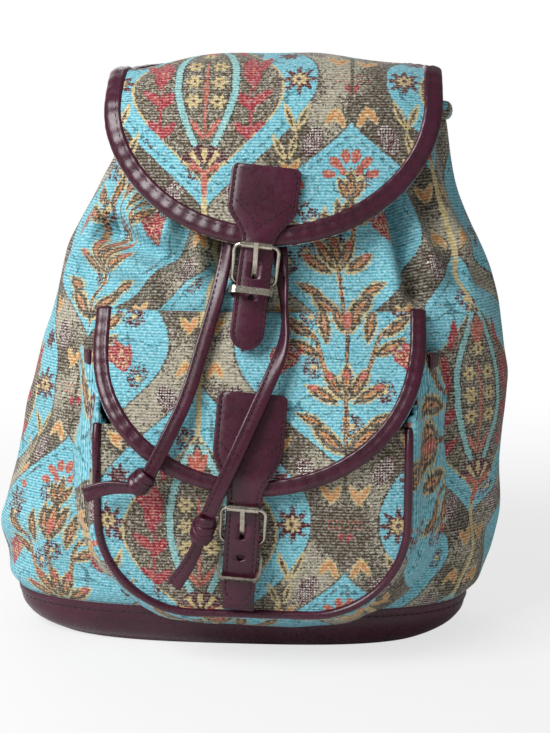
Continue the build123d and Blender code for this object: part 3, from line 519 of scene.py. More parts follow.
# The boot: a low tray of burgundy leather under the sack, turned in at its flat underside.
# Its upper edge is stitched to the cloth.
boot_height_shares = (0, 0.16, 0.5, 1)
boot_reach_shares = (0.85, 0.91, 0.97, 1)
boot_wall = 4 * mm


def unit(vectors):
    """Vectors as directions of length 1."""
    return vectors / np.linalg.norm(vectors, axis=-1, keepdims=True)


def outward_of(ring):
    """Level directions away from the middle of the bag."""
    return unit(ring * [1, 1, 0])


def baked(piece):
    """A mesh of a piece as its modifiers leave it."""
    depsgraph = bpy.context.evaluated_depsgraph_get()
    return bpy.data.meshes.new_from_object(piece.evaluated_get(depsgraph), depsgraph=depsgraph)


def loft_piece(name, rings, material):
    """A closed mesh through rings of points, with its two end rings filled."""
    count, around = rings.shape[:2]
    index = np.arange(count * around).reshape(count, around)
    onward = np.roll(index, -1, axis=1)
    quads = np.stack([index[:-1], onward[:-1], onward[1:], index[1:]], -1).reshape(-1, 4)
    faces = quads.tolist() + [index[0][::-1].tolist(), index[-1].tolist()]
    mesh = bpy.data.meshes.new(name)
    mesh.from_pydata(rings.reshape(-1, 3).tolist(), [], faces)
    form = bmesh.new()
    form.from_mesh(mesh)
    bmesh.ops.recalc_face_normals(form, faces=form.faces)
    form.to_mesh(mesh)
    form.free()
    return add_piece(name, mesh, material)


def add_leather(name, color, light, dark, grain):
    """Grained leather: pebbles with painted shade in the hollows between them, broad cloudiness and a worn
    sheen, in the piece's own place.
    """
    material, tree = add_material(name)
    place = add_node(tree, "ShaderNodeTexCoord", {}, {}).outputs["Object"]
    cloud = add_noise(tree, place, 38, 4, Roughness=0.6)[0]
    pebbles = add_node(tree, "ShaderNodeTexVoronoi", {"feature": "DISTANCE_TO_EDGE"}, {
        "Vector": place, "Scale": grain}).outputs[0]
    creases = add_noise(tree, place, grain * 0.28, 3, Distortion=0.8)[0]
    worn = ranged(tree, cloud, 0.35, 0.7, 0, 1)
    tone = paint(tree, color, worn, light)
    # Painted shade: the dark tone laid in the hollows between the pebbles
    pebble_hollow_shade = ranged(tree, pebbles, 0.0, 0.12, 0.55, 0)
    tone = paint(tree, tone, pebble_hollow_shade, dark)
    dull = ranged(tree, creases, 0.3, 0.7, 0.24, 0.36)
    height = sums(tree, "MULTIPLY_ADD", creases, 0.7, sums(tree, "MINIMUM", pebbles, 0.2))
    bumped = add_node(tree, "ShaderNodeBump", {}, {"Strength": 0.3, "Distance": 0.0003, "Height": height})
    face = add_node(tree, "ShaderNodeBsdfPrincipled", {}, {
        "Base Color": tone, "Roughness": dull, "Normal": bumped.outputs[0], "Specular IOR Level": 0.5})
    add_node(tree, "ShaderNodeOutputMaterial", {}, {0: face.outputs[0]})
    return material


burgundy = linear(58, 10, 30)
burgundy_light = linear(76, 18, 46)
burgundy_dark = linear(26, 5, 12)
leather = add_leather("burgundy_leather", burgundy, burgundy_light, burgundy_dark, 900)


def stitch_tree(material):
    """Geometry Nodes: short rounded stitches set end to end along the edges of a mesh."""
    tree = bpy.data.node_groups.new("stitches", "GeometryNodeTree")
    face = tree.interface
    face.new_socket("Line", in_out="INPUT", socket_type="NodeSocketGeometry")
    for name in ("Pitch", "Length", "Thickness"):
        face.new_socket(name, in_out="INPUT", socket_type="NodeSocketFloat")
    face.new_socket("Stitches", in_out="OUTPUT", socket_type="NodeSocketGeometry")
    given = tree.nodes.new("NodeGroupInput").outputs
    curve = add_node(tree, "GeometryNodeMeshToCurve", {}, {0: given["Line"]}).outputs[0]
    points = add_node(tree, "GeometryNodeResampleCurve", {"mode": "LENGTH"},
                      {0: curve, "Length": given["Pitch"]}).outputs[0]
    bead = add_node(tree, "GeometryNodeMeshUVSphere", {},
                    {"Segments": 6, "Rings": 5, "Radius": 0.5}).outputs[0]
    slim = add_node(tree, "ShaderNodeCombineXYZ", {},
                    {0: given["Thickness"], 1: given["Thickness"], 2: given["Length"]}).outputs[0]
    thread = add_node(tree, "GeometryNodeTransform", {}, {"Geometry": bead, "Scale": slim}).outputs[0]
    heading = tree.nodes.new("GeometryNodeInputTangent").outputs[0]
    turned = add_node(tree, "FunctionNodeAlignRotationToVector", {"axis": "Z"},
                      {"Vector": heading}).outputs[0]
    row = add_node(tree, "GeometryNodeInstanceOnPoints", {},
                   {"Points": points, "Instance": thread, "Rotation": turned}).outputs[0]
    solid = add_node(tree, "GeometryNodeRealizeInstances", {}, {0: row}).outputs[0]
    dyed = add_node(tree, "GeometryNodeSetMaterial", {},
                    {"Geometry": solid, "Material": material}).outputs[0]
    tree.links.new(dyed, tree.nodes.new("NodeGroupOutput").inputs[0])
    return tree


def add_thread(name, color):
    """Waxed sewing thread with a fine twist."""
    material = bpy.data.materials.new(name)
    material.use_nodes = True
    tree = material.node_tree
    face = tree.nodes["Principled BSDF"]
    place = add_node(tree, "ShaderNodeTexCoord", {}, {}).outputs["Object"]
    twist = sums(tree, "MULTIPLY", add_noise(tree, place, 2600, 1)[0], 0.6)
    tree.links.new(paint(tree, color, twist, burgundy_dark), face.inputs["Base Color"])
    face.inputs["Roughness"].default_value = 0.6
    return material


stitch_pitch = 4.6 * mm
stitch_length = 3.4 * mm
stitch_thickness = 0.75 * mm
seam_thread = add_thread("seam_thread", linear(30, 9, 18))
sewing = stitch_tree(seam_thread)


def sew(name, lines, pitch=stitch_pitch):
    """One mesh of stitches along lines of points on the leather."""
    mesh = bpy.data.meshes.new(name)
    places, edges = [], []
    for line in lines:
        edges += [(len(places) + k, len(places) + k + 1) for k in range(len(line) - 1)]
        places += [tuple(point) for point in line]
    mesh.from_pydata(places, edges, [])
    row = bpy.data.objects.new(name, mesh)
    bpy.context.scene.collection.objects.link(row)
    needle = row.modifiers.new("stitches", "NODES")
    needle.node_group = sewing
    for socket in sewing.interface.items_tree:
        value = {"Pitch": pitch, "Length": stitch_length * pitch / stitch_pitch,
                 "Thickness": stitch_thickness}.get(socket.name)
        if value is not None:
            needle[socket.identifier] = value
    made = baked(row)
    row.modifiers.remove(needle)
    row.data = made
    made.polygons.foreach_set("use_smooth", [True] * len(made.polygons))
    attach(row, "bag")
    return row


def even_line(points, step):
    """A line of points set again at even steps along it."""
    length = run_along(points)
    places = np.linspace(0, length[-1], max(int(round(length[-1] / step)), 2) + 1)
    return np.stack([np.interp(places, length, points[:, axis]) for axis in range(3)], -1)


boot_turns = np.linspace(0, 2 * math.pi, 240, endpoint=False)
boot_seam = sack_wall(boot_turns, boot_top)
belly_depth, rim_proud, boot_dent = 1.6 * mm, 1.2 * mm, 1.5 * mm
rim_share = 0.86
boot_rings = []
for share in np.concatenate([[0, 0.03, 0.07], np.linspace(0.12, 1, 15)]):
    reach = smooth_line(boot_height_shares, boot_reach_shares, share)
    ring = boot_seam * [reach, reach, 0] + [0, 0, share * boot_top]
    belly = belly_depth * math.sin(math.pi * share) + rim_proud * (share > rim_share)
    dents = soft_dents(ring, 34, boot_dent) * (0.05 < share < 0.9)
    boot_rings.append(ring + outward_of(ring) * (belly + dents)[:, None])
boot_lip = boot_seam - outward_of(boot_seam) * boot_wall
boot_rings += [boot_seam + [0, 0, 1.2 * mm], boot_lip + [0, 0, 0.8 * mm], boot_lip - [0, 0, 6 * mm]]
boot = loft_piece("boot", np.array(boot_rings), leather)
belongs(boot, "leather", "base_boot")
boot_stitch_ring, thread_proud = boot_rings[14], 0.25 * mm
boot_line = boot_stitch_ring + outward_of(boot_stitch_ring) * thread_proud
sew("boot_stitches", [even_line(np.concatenate([boot_line, boot_line[:1]]), 2 * mm)])

# The mouth: the cloth is rolled into a hem that holds the drawstring, gathered under the flap.
hem_height = 12 * mm
hem_overhang = 4 * mm
pleat_depth, pleat_count, hem_length = 0.8 * mm, 36, 30 * mm
hem_turns = np.linspace(math.pi / 2, 2.5 * math.pi, 289)
hem_angles = np.linspace(0, 2 * math.pi, 21)
hem_slack = 1 + soft_dents(sack_wall(hem_turns, mouth_height), 28, 0.3)
hem_middle, hem_half = (hem_overhang - cloth_thickness) / 2, (hem_overhang + cloth_thickness) / 2
hem_rows = []
for angle in hem_angles:
    pleat = pleat_depth * np.sin(pleat_count * hem_turns) * math.cos(angle)
    ring = sack_wall(hem_turns, mouth_height, hem_middle + hem_half * math.cos(angle) * hem_slack + pleat)
    ring[:, 2] += hem_height / 2 * (1 + math.sin(angle)) * hem_slack
    hem_rows.append(ring)
hem_run = np.interp(hem_turns, turn_steps, run)
hem_rise = mouth_height + np.linspace(0, hem_length, len(hem_angles))[:, None]
hem_threads = np.stack(np.broadcast_arrays(hem_run, hem_rise), -1) - body_bouquet
hem = grid_piece("mouth_roll", np.array(hem_rows), hem_threads, tapestry)
belongs(hem, "tapestry", "mouth_hem")

# The flaps: cloth panels cut to a half oval, one over the mouth and one over the pocket, each in a
# rolled leather binding that is stitched through and puckers a little between the stitches.
flap_thickness = 3 * mm
binding_proud = 1.9 * mm
flap_slack, flap_sink, slack_ease = 3.2 * mm, 0.6 * mm, 22 * mm
cloth_share = 0.985


def flap_sheet(center, half_width, profile):
    """A flap's outer face: a profile line that moves back and down towards the sides."""
    table = np.array(profile, float) * mm
    length = run_along(table[:, :2])

    def face(place, share):
        y, z, back, down = (smooth_line(length, table[:, column], place) for column in range(4))
        bend = np.asarray(share) ** 2
        x = (center + half_width * np.asarray(share)) * mm
        return np.stack(np.broadcast_arrays(x, y + bend * back, z - bend * down), -1)

    return face, length[-1]


def face_direction(face, place, share):
    """The outward direction of a flap at a place along it and a share across it."""
    step = 0.5 * mm
    rise = face(place + step, share) - face(place - step, share)
    side = face(place, share + 0.01) - face(place, share - 0.01)
    return unit(np.cross(side, rise))


def front_edge(face, reach, share, center_height, curve_height):
    """Where along the flap its half oval outline runs, for shares across it."""
    places = np.linspace(0, reach, 400)
    found = []
    for each in np.atleast_1d(share):
        low = (center_height - curve_height * math.sqrt(max(1 - each * each, 0))) * mm
        found.append(np.interp(low, face(places, each)[:, 2], places))
    return np.array(found)


binding_step, gather_share = 1.6 * mm, 0.05
groove_place, groove_width, groove_depth, thread_sink = 0.42, 0.16, 0.9 * mm, 0.62 * mm


def bind(name, face, places, shares, half_width, node):
    """A rolled binding along a flap's edge, its outer rim on the edge, with a stitched groove."""
    points = face(places, shares)
    edge = even_line(points, binding_step)
    run = run_along(points)
    even_run = np.linspace(0, run[-1], len(edge))
    outward = face_direction(face, np.interp(even_run, run, places), np.interp(even_run, run, shares))
    inward = np.cross(outward, unit(np.gradient(edge, axis=0)))
    half_depth = flap_thickness / 2 + binding_proud
    gathers = gather_share * np.sin(2 * math.pi * run_along(edge) / (2 * stitch_pitch))
    pucker = 1 + gathers + soft_dents(edge, 55, 0.09)
    middle = edge + inward * half_width - outward * flap_thickness / 2
    rings = []
    for angle in np.linspace(0, 2 * math.pi, 24, endpoint=False):
        side, lift = squared(-math.cos(angle), 0.75), math.sin(angle)
        groove = groove_depth * math.exp(-((side - groove_place) / groove_width) ** 2) * max(lift, 0)
        rise = squared(lift, 0.7) * half_depth * pucker - groove
        rings.append(middle + inward * (side * half_width) + outward * rise[:, None])
    piece = loft_piece(name, np.stack(rings, 1), leather)
    belongs(piece, "leather", node)
    seam_rise = half_depth * 0.93 * pucker - thread_sink
    seam = middle + inward * (groove_place * half_width) + outward * seam_rise[:, None]
    sew(name + "_stitches", [seam[2:-2]])


flap_center, flap_half_width = 21.5, 102
flap_profile = ((-82.4, 244, 18, 0), (-74.4, 289, 18, 0), (-66.5, 334, 18, 0), (-48, 361, 18, 6),
                (0, 371, 0, 12), (44, 364, 0, 6), (58.9, 344, 0, 0), (58, 322, 0, 0), (57.1, 300, 0, 0))
flap_curve = 340, 84
flap_taper_start, flap_taper_end, flap_back_share = 10, 62, 62 / 102
flap_face, flap_reach = flap_sheet(flap_center, flap_half_width, flap_profile)
flap_front, just_past = 0.6 * flap_reach, 1e-6
back_places = np.linspace(0.45 * flap_reach, flap_reach, 400)
back_turn = np.argmax(flap_face(back_places, 0)[:, 1]) + 1
back_places = back_places[:back_turn]
taper_slope = (1 - flap_back_share) / (flap_taper_end - flap_taper_start)
flap_tail_share = 1 - taper_slope * (flap_face(back_places[-1:], 0)[0, 1] / mm - flap_taper_start)


def back_edge(share):
    """Where along the top flap its narrowing back part ends, for shares across it."""
    found = []
    for each in np.abs(np.atleast_1d(share)):
        behind = flap_face(back_places, each)[:, 1]
        narrowed = np.interp((flap_taper_start + (1 - each) / taper_slope) * mm, behind, back_places)
        found.append(flap_reach if each <= flap_tail_share else narrowed)
    return np.array(found)


def panel(name, face, places, shares, bouquet, node, low):
    """A flap's cloth through rows of places along it and shares across it, with slack in it."""
    share = np.broadcast_to(shares, places.shape)
    points = face(places, share)
    edge = np.minimum(places - places[0], places[-1] - places)
    ease = np.clip(edge / slack_ease - 0.4, 0, 1) * np.clip((1 - np.abs(share)) * 8 - 0.6, 0, 1)
    normal = face_direction(face, places, share)
    points = points + normal * ((soft_dents(points, 22, flap_slack) - flap_sink) * ease)[..., None]
    threads = np.stack([points[..., 0], places + low * mm], -1) - np.array(bouquet) * mm
    piece = grid_piece(name, points, threads, tapestry)
    weld = bmesh.new()
    weld.from_mesh(piece.data)
    bmesh.ops.remove_doubles(weld, verts=weld.verts, dist=0.001 * mm)
    weld.to_mesh(piece.data)
    weld.free()
    thicken(piece, flap_thickness)
    belongs(piece, "tapestry", node)
    return piece


flap_shares = np.sin(np.linspace(-math.pi / 2, math.pi / 2, 121)) * cloth_share
tail_sides = [side * (flap_tail_share + step) for side in (-1, 1) for step in (0, 0.003)]
top_shares = np.sort(np.concatenate([flap_shares, tail_sides]))
flap_start = front_edge(flap_face, flap_front, top_shares, *flap_curve)
flap_end = back_edge(top_shares)
flap_knee = np.minimum(flap_end, back_edge(flap_tail_share + just_past))
flap_places = np.concatenate([flap_start + (flap_knee - flap_start) * np.linspace(0, 1, 104)[:, None],
                              flap_knee + (flap_end - flap_knee) * np.linspace(0, 1, 27)[1:, None]])
flap_cloth = panel("flap_cloth", flap_face, flap_places, top_shares, (70, 254), "flap_panel", 244)
edge_angle = np.linspace(-math.pi / 2, math.pi / 2, 160)
edge_share = np.sin(edge_angle)
front_places = front_edge(flap_face, flap_front, edge_share, *flap_curve)
side_places = np.linspace(front_places[-1], back_edge(1.0)[0], 60)[1:]
taper_shares = np.linspace(1, flap_tail_share, 24)[1:]
taper_places = back_edge(taper_shares + just_past)
tail_places = np.linspace(taper_places[-1], flap_reach, 20)[1:]
right_share = np.concatenate([np.ones(len(side_places)), taper_shares,
                              np.full(len(tail_places), flap_tail_share)])
right_place = np.concatenate([side_places, taper_places, tail_places])
edge_share = np.concatenate([-right_share[::-1], edge_share, right_share])
edge_place = np.concatenate([right_place[::-1], front_places, right_place])
bind("flap_edge_binding", flap_face, edge_place, edge_share, 6 * mm, "flap_binding")

pocket_flap_center, pocket_flap_half_width = 15.5, 99.5
pocket_flap_profile = ((-111.2, 101, 0, 0), (-107.8, 142.8, 1.2, 0), (-98.3, 173.5, 4.6, 0),
                       (-88.1, 193.8, 8.2, 0), (-81.3, 208.3, 10.6, 0), (-77.2, 217, 12, 0))
pocket_flap_curve = 201, 88
pocket_flap_face, pocket_flap_reach = flap_sheet(
    pocket_flap_center, pocket_flap_half_width, pocket_flap_profile)
pocket_flap_start = front_edge(pocket_flap_face, pocket_flap_reach, flap_shares, *pocket_flap_curve)
pocket_flap_rows = np.linspace(0, 1, 80)[:, None]
pocket_flap_places = pocket_flap_start + (pocket_flap_reach - pocket_flap_start) * pocket_flap_rows
pocket_flap_cloth = panel("pocket_flap_cloth", pocket_flap_face, pocket_flap_places, flap_shares, (69, 203),
                          "pocket_flap", 101)
edge_share = np.sin(edge_angle)
front_places = front_edge(pocket_flap_face, pocket_flap_reach, edge_share, *pocket_flap_curve)
side_places = np.linspace(front_places[-1], pocket_flap_reach, 12)[1:]
straight = np.ones(len(side_places))
edge_share = np.concatenate([-straight, edge_share, straight])
edge_place = np.concatenate([side_places[::-1], front_places, side_places])
bind("pocket_edge_binding", pocket_flap_face, edge_place, edge_share, 5 * mm, "pocket_flap_binding")

# The front pocket: a bellows pocket of the same cloth. Its front is piped along the sides and the
# bottom, its gusset folds back to the sack, and leather tabs hold the gusset's upper corners.
pocket_center, pocket_face_out = 13 * mm, 100 * mm
pocket_half_width, pocket_bottom, pocket_corner = 92 * mm, 38 * mm, 58 * mm
pocket_reach, pocket_splay, pocket_drop = 54 * mm, 32 * mm, 31 * mm
pocket_front_top, pocket_side_top, pocket_side_depth = 130 * mm, 193 * mm, 24 * mm
pocket_corner_top = pocket_front_top + 22 * mm
piping_radius = 2.5 * mm


def pocket_outline(depth, top):
    """The pocket's outline at a depth behind its face, from the left top round to the right top."""
    share = depth / pocket_reach
    half = pocket_half_width + pocket_splay * share
    low = pocket_bottom - pocket_drop * share
    corner = pocket_corner + pocket_splay * share
    side = np.linspace(top, low + corner, 25)
    angle = np.linspace(0, math.pi / 2, 41)[1:]
    x = np.concatenate([np.full(len(side), -half), -half + corner * (1 - np.cos(angle))])
    z = np.concatenate([side, low + corner * (1 - np.sin(angle))])
    bottom = np.linspace(-half + corner, half - corner, 33)[1:-1]
    x = np.concatenate([x, bottom, -x[::-1]])
    z = np.concatenate([z, np.full(len(bottom), low), z[::-1]])
    return np.stack([pocket_center + x, np.full(len(x), depth - pocket_face_out), z], -1)


def tuck(points):
    """The pocket's upper corners lean back to pass under its flap."""
    tuck_height, tuck_depth = 25 * mm, 7 * mm
    above = np.clip((points[..., 2] - pocket_front_top) / tuck_height, 0, None)
    return points + above[..., None] ** 2 * np.array([0, tuck_depth, 0])


pocket_low = np.linspace(pocket_bottom + 0.4 * mm, pocket_corner_top, 90)
inset = np.clip((pocket_bottom + pocket_corner - pocket_low) / pocket_corner, 0, 1)
pocket_half = pocket_half_width - pocket_corner * (1 - np.sqrt(1 - inset ** 2))
pocket_shares = np.linspace(-1, 1, 141)
pocket_x = pocket_center + pocket_half[:, None] * pocket_shares
pocket_z = np.broadcast_to(pocket_low[:, None], pocket_x.shape)
pocket_points = np.stack([pocket_x, np.full(pocket_x.shape, -pocket_face_out), pocket_z], -1)
slack = (1 - pocket_shares ** 4) * np.clip((pocket_low - pocket_bottom) / (30 * mm), 0, 1)[:, None]
strap_x, strap_spread, strap_press = 9 * mm, 20 * mm, 0.55
beside_strap = 1 - strap_press * np.exp(-((pocket_x - strap_x) / strap_spread) ** 2)
pocket_slack, pocket_dent = 4.5 * mm, 3.4 * mm
pocket_points[..., 1] -= slack * (pocket_slack * beside_strap + soft_dents(pocket_points, 26, pocket_dent))
pocket_threads = np.stack([pocket_x, pocket_z], -1) - np.array([69, 203]) * mm
pocket_cloth = grid_piece("pocket_cloth", tuck(pocket_points), pocket_threads, tapestry)
thicken(pocket_cloth, cloth_thickness)
belongs(pocket_cloth, "tapestry", "pocket_front")

gusset_rows = []
gusset_depth = np.linspace(48 * mm, 0, 40)[:, None]
for depth in gusset_depth[:, 0]:
    top = pocket_corner_top + (pocket_side_top - pocket_corner_top) * min(depth / pocket_side_depth, 1)
    gusset_rows.append(tuck(pocket_outline(depth, top)) if depth < 3 * mm else pocket_outline(depth, top))
gusset_points = np.array(gusset_rows)
bellows_depth, bellows_fold, seam_ease = 2.2 * mm, 26 * mm, 5 * mm
bellows = bellows_depth * np.sin(np.clip(gusset_depth / bellows_fold, 0, 1) * 2 * math.pi)
bellows = (bellows + soft_dents(gusset_points, 40, 2.4 * mm)) * np.clip(gusset_depth / seam_ease, 0, 1)
gusset_points += face_normals(gusset_points) * bellows[..., None]
lean_left, lean_right, lean_start, lean_height = 9 * mm, 4 * mm, 120 * mm, 73 * mm
lean_share = np.clip((gusset_points[..., 2] - lean_start) / lean_height, 0, 1) ** 1.4
gusset_points[..., 0] += np.where(gusset_points[..., 0] < pocket_center, lean_left,
                                  -lean_right) * lean_share
gusset_threads = np.stack(np.broadcast_arrays(run_along(gusset_points[-1]), -gusset_depth), -1)
gusset = grid_piece("pocket_bellows", gusset_points, gusset_threads + np.array([12, 40]) * mm, tapestry)
thicken(gusset, cloth_thickness)
belongs(gusset, "tapestry", "pocket_gusset")


def tube_rings(line, radii, around=14):
    """Rings of a round cord along a line of points."""
    heading = unit(np.gradient(line, axis=0))
    side = unit(np.cross(heading, [0, 1, 0]))
    other = np.cross(heading, side)
    angle = np.linspace(0, 2 * math.pi, around, endpoint=False)
    wheel = side[:, None] * np.cos(angle)[:, None] + other[:, None] * np.sin(angle)[:, None]
    return line[:, None] + wheel * np.asarray(radii)[:, None, None]


piping_line = even_line(tuck(pocket_outline(0, pocket_corner_top)), 1.5 * mm)
piping_line[:, 1] -= 0.6 * mm
piping_radii = piping_radius * (1 + soft_dents(piping_line, 60, 0.12))
piping = loft_piece("pocket_cord_piping", tube_rings(piping_line, piping_radii), leather)
belongs(piping, "leather", "pocket_piping")


def rounded_ring(count, side_power, lift_power):
    """Sides and lifts round a section between an oval and a box, 1 at its edges."""
    angle = np.linspace(0, 2 * math.pi, count, endpoint=False)
    return squared(np.cos(angle), side_power), squared(np.sin(angle), lift_power)


side_tab_size, side_tab_thickness = 9 * mm, 3.4 * mm
tab_side, tab_lift = rounded_ring(20, 0.4, 0.7)
for side, sign in (("left", -1), ("right", 1)):
    turn = math.atan(pocket_splay / pocket_reach)
    depth = pocket_side_depth + side_tab_size / 2
    back = np.array([sign * math.sin(turn), math.cos(turn), 0])
    out = np.array([sign * math.cos(turn), -math.sin(turn), 0])
    lean = lean_left if sign < 0 else lean_right
    half = pocket_half_width + pocket_splay * depth / pocket_reach - lean
    corner = np.array([pocket_center + sign * half, depth - pocket_face_out, pocket_side_top])
    tab_rings = []
    for share in np.concatenate([[0], np.linspace(0.06, 0.94, 9), [1]]):
        round_off = 1 - 0.35 * (share in (0, 1))
        wide = tab_side * side_tab_size / 2 * round_off
        deep = tab_lift * side_tab_thickness / 2 * round_off
        tab_rings.append(corner + out * side_tab_thickness / 2 - [0, 0, share * side_tab_size]
                         + wide[:, None] * back + deep[:, None] * out)
    side_tab = loft_piece("corner_tab_" + side, np.array(tab_rings), leather)
    belongs(side_tab, "leather", "pocket_side_tab_" + side)

# The closures: leather tabs with a flared head sewn to each flap and a tail that passes the roller of
# a buckle. The prong comes through a slot in the tail. A chape round the bar holds each buckle.
strap_width, strap_thickness, tab_head_width = 20 * mm, 2.4 * mm, 41 * mm
buckle_reach, chape_width, chape_thickness = 22 * mm, 18.6 * mm, 1.8 * mm
tab_dome, tab_stitch_pitch, seam_step = 0.45 * mm, 3.4 * mm, 1.2 * mm
tab_seam_inset, tab_seam_spread, tab_seam_depth = 2.6 * mm, 1.1 * mm, 0.4 * mm


def strap_frame(roller_place, lean, slope):
    """The back face of a closing strap: origin at the buckle's bar, then across, up along it and outward."""
    turn, tip = math.radians(lean), math.radians(slope)
    up = np.array([math.sin(turn), math.cos(turn) * math.sin(tip), math.cos(turn) * math.cos(tip)])
    out = np.array([0, -math.cos(tip), math.sin(tip)])
    return np.array(roller_place) * mm - up * buckle_reach, np.cross(up, out), up, out


def on_strap(strap, places):
    """Places given as across, along and out of a strap, in the bag's frame."""
    origin, across, up, out = strap
    places = np.asarray(places)
    return origin + places[..., :1] * across + places[..., 1:2] * up + places[..., 2:] * out


def cut(piece, cutters):
    """Holes in a piece, by cutters that are then thrown away."""
    for cutter in cutters:
        knife = piece.modifiers.new("hole", "BOOLEAN")
        knife.object = cutter
        knife.operation = "DIFFERENCE"
        knife.solver = "EXACT"
    mesh = baked(piece)
    piece.modifiers.clear()
    piece.data = mesh
    for cutter in cutters:
        bpy.data.objects.remove(cutter)


def block(name, strap, low, high, rounding=4):
    """A cutter between two corners on a strap, with rounded sides seen from the front."""
    low, high = np.array(low), np.array(high)
    side, rise = rounded_ring(24, 2 / rounding, 2 / rounding)
    oval = np.stack([side, rise, 0 * side], -1)
    middle, half = (low + high) / 2, (high - low) / 2
    rings = [on_strap(strap, middle + half * (oval + [0, 0, level])) for level in (-1, 1)]
    return loft_piece(name, np.array(rings), leather)


def closing_tab(name, strap, above, below, bend_above, tilt, head_length, taper_length, slot, hole, node):
    """One tab: domed, edge-stitched leather, its head leaned back over a stitched V, with slot and hole."""
    top = buckle_reach + above * mm
    shoulder = top - head_length * mm
    neck = shoulder - taper_length * mm
    tip = buckle_reach - below * mm
    half, head_half, corner = strap_width / 2, tab_head_width / 2, 3.5 * mm
    bend, lean, ease = buckle_reach + bend_above * mm, math.radians(tilt), 5 * mm

    def laid(places):
        """Places on the flat tab, with its head leaned back onto the flap."""
        places = np.array(places, float)
        over = places[..., 1] - bend
        past = np.where(over > ease, over, np.clip(over + ease, 0, None) ** 2 / (4 * ease))
        back = past * math.tan(lean)
        places[..., 1] -= past * (1 - math.cos(lean))
        places[..., 2] -= back * math.cos(lean)
        return on_strap(strap, places)

    def half_width(along):
        """Half the tab's width at a place along it."""
        if along < tip + half:
            return math.sqrt(max(half ** 2 - (tip + half - along) ** 2, 0))
        if along < neck:
            return half
        if along < shoulder:
            share = (along - neck) / (shoulder - neck)
            return half + (head_half - half) * share * share * (3 - 2 * share)
        over = max(along - (top - corner), 0)
        return head_half - corner + math.sqrt(max(corner ** 2 - over ** 2, 0))

    along = np.concatenate([tip + half * (1 - np.cos(np.linspace(0.12, math.pi / 2, 14))),
                            np.linspace(tip + half, top - corner, 90)[1:],
                            top - corner + corner * np.sin(np.linspace(0, 1.5, 7))[1:]])
    side, lift = rounded_ring(40, 0.35, 0.55)
    rings = []
    for place in along:
        wide = max(half_width(place), 0.3 * mm)
        out = strap_thickness / 2 * (1 + lift) + tab_dome * (1 - side ** 2) * (lift > 0)
        near = np.exp(-((wide - np.abs(side) * wide - tab_seam_inset) / tab_seam_spread) ** 2) * (lift > 0)
        rings.append(np.stack([side * wide, np.full(len(side), place), out - tab_seam_depth * near], -1))
    piece = loft_piece(name, laid(rings), leather)
    low, high, slot_half, hole_radius = -2 * mm, 6 * mm, 1.7 * mm, 1.8 * mm
    cut(piece, [block("slot", strap, (-slot_half, slot[0] * mm, low), (slot_half, slot[1] * mm, high)),
                block("hole", strap, (-hole_radius, hole * mm - hole_radius, low),
                      (hole_radius, hole * mm + hole_radius, high), 2)])
    belongs(piece, "leather", node)
    inset, over = 2.5 * mm, strap_thickness + 0.1 * mm
    side_places = np.linspace(tip + half, top - inset, 80)
    left = np.array([(-(half_width(place) - inset), place, over) for place in side_places])
    right = left[::-1] * [-1, 1, 1]
    round_tip = np.array([(-math.cos(t) * (half - inset), tip + half - math.sin(t) * (half - inset), over)
                          for t in np.linspace(0, math.pi, 30)])
    head = np.array([(x, top - inset, over) for x in np.linspace(head_half - inset, inset - head_half, 20)])
    apex = (neck + shoulder) / 2 + 0.15 * (shoulder - neck)
    vee_half, vee_top, vee_out = head_half - 2 * inset, shoulder + 2 * mm, over + 0.35 * mm
    vee = np.array([(-vee_half, vee_top, vee_out), (0, apex - 5 * mm, over + 0.4 * mm),
                    (vee_half, vee_top, vee_out)])
    around = np.concatenate([left[::-1], round_tip[1:], right[::-1][1:], head[1:]])
    seams = [even_line(laid(even_line(line, seam_step)), seam_step) for line in (around, vee)]
    sew(name + "_stitches", seams, tab_stitch_pitch)


def chape_strip(name, strap, seat, node):
    """The strip that holds a buckle: from its seam up behind the tail, round the bar and back down."""
    origin, across, up, out = strap
    away = np.array(seat) * mm - origin
    seat_place = (away @ up, away @ out)
    run_out, bar_out, bend, run_top, fold_end = -1.2 * mm, -3.3 * mm, 2.1 * mm, -13 * mm, -4 * mm
    eye = [(bend * math.sin(t), bar_out + bend * math.cos(t)) for t in np.linspace(0, math.pi + 0.9, 17)]
    line = np.array([(0, *seat_place), (0, run_top, run_out)] + [(0, *place) for place in eye]
                    + [(0, fold_end, run_out - chape_thickness)])
    line = even_line(line, 0.8 * mm)
    heading = unit(np.gradient(line, axis=0))
    outward = np.stack([0 * heading[:, 0], -heading[:, 2], heading[:, 1]], -1)
    side, lift = rounded_ring(24, 0.3, 0.6)
    side, lift = side * chape_width / 2, lift * chape_thickness / 2
    rings = line[:, None] + np.stack([side, 0 * side, 0 * side], -1) + lift[:, None] * outward[:, None]
    piece = loft_piece(name, on_strap(strap, rings), leather)
    slot_half, slot_reach, low, high = 1.8 * mm, 4 * mm, -8 * mm, 1 * mm
    cut(piece, [block("eye_slot", strap, (-slot_half, -slot_reach, low), (slot_half, slot_reach, high))])
    belongs(piece, "leather", node)


flap_strap = strap_frame((15.6, -82, 256.3), 6.3, 10)
pocket_strap = strap_frame((9.8, -113, 108), 4, 1)
closing_tab("flap_closing_tab", flap_strap, 47, 61, 13, 0.9, 24, 20, (2.7, 12.6), -8.3, "flap_tab")
closing_tab("pocket_closing_tab", pocket_strap, 66.5, 59, 18, 13.2, 32, 30, (2.7, 12.6), -8.3, "pocket_tab")
chape_strip("flap_chape_strip", flap_strap, (15.6, -72.2, 223), "flap_chape")
chape_strip("pocket_chape_strip", pocket_strap, (9.8, -104.6, 42), "pocket_chape")
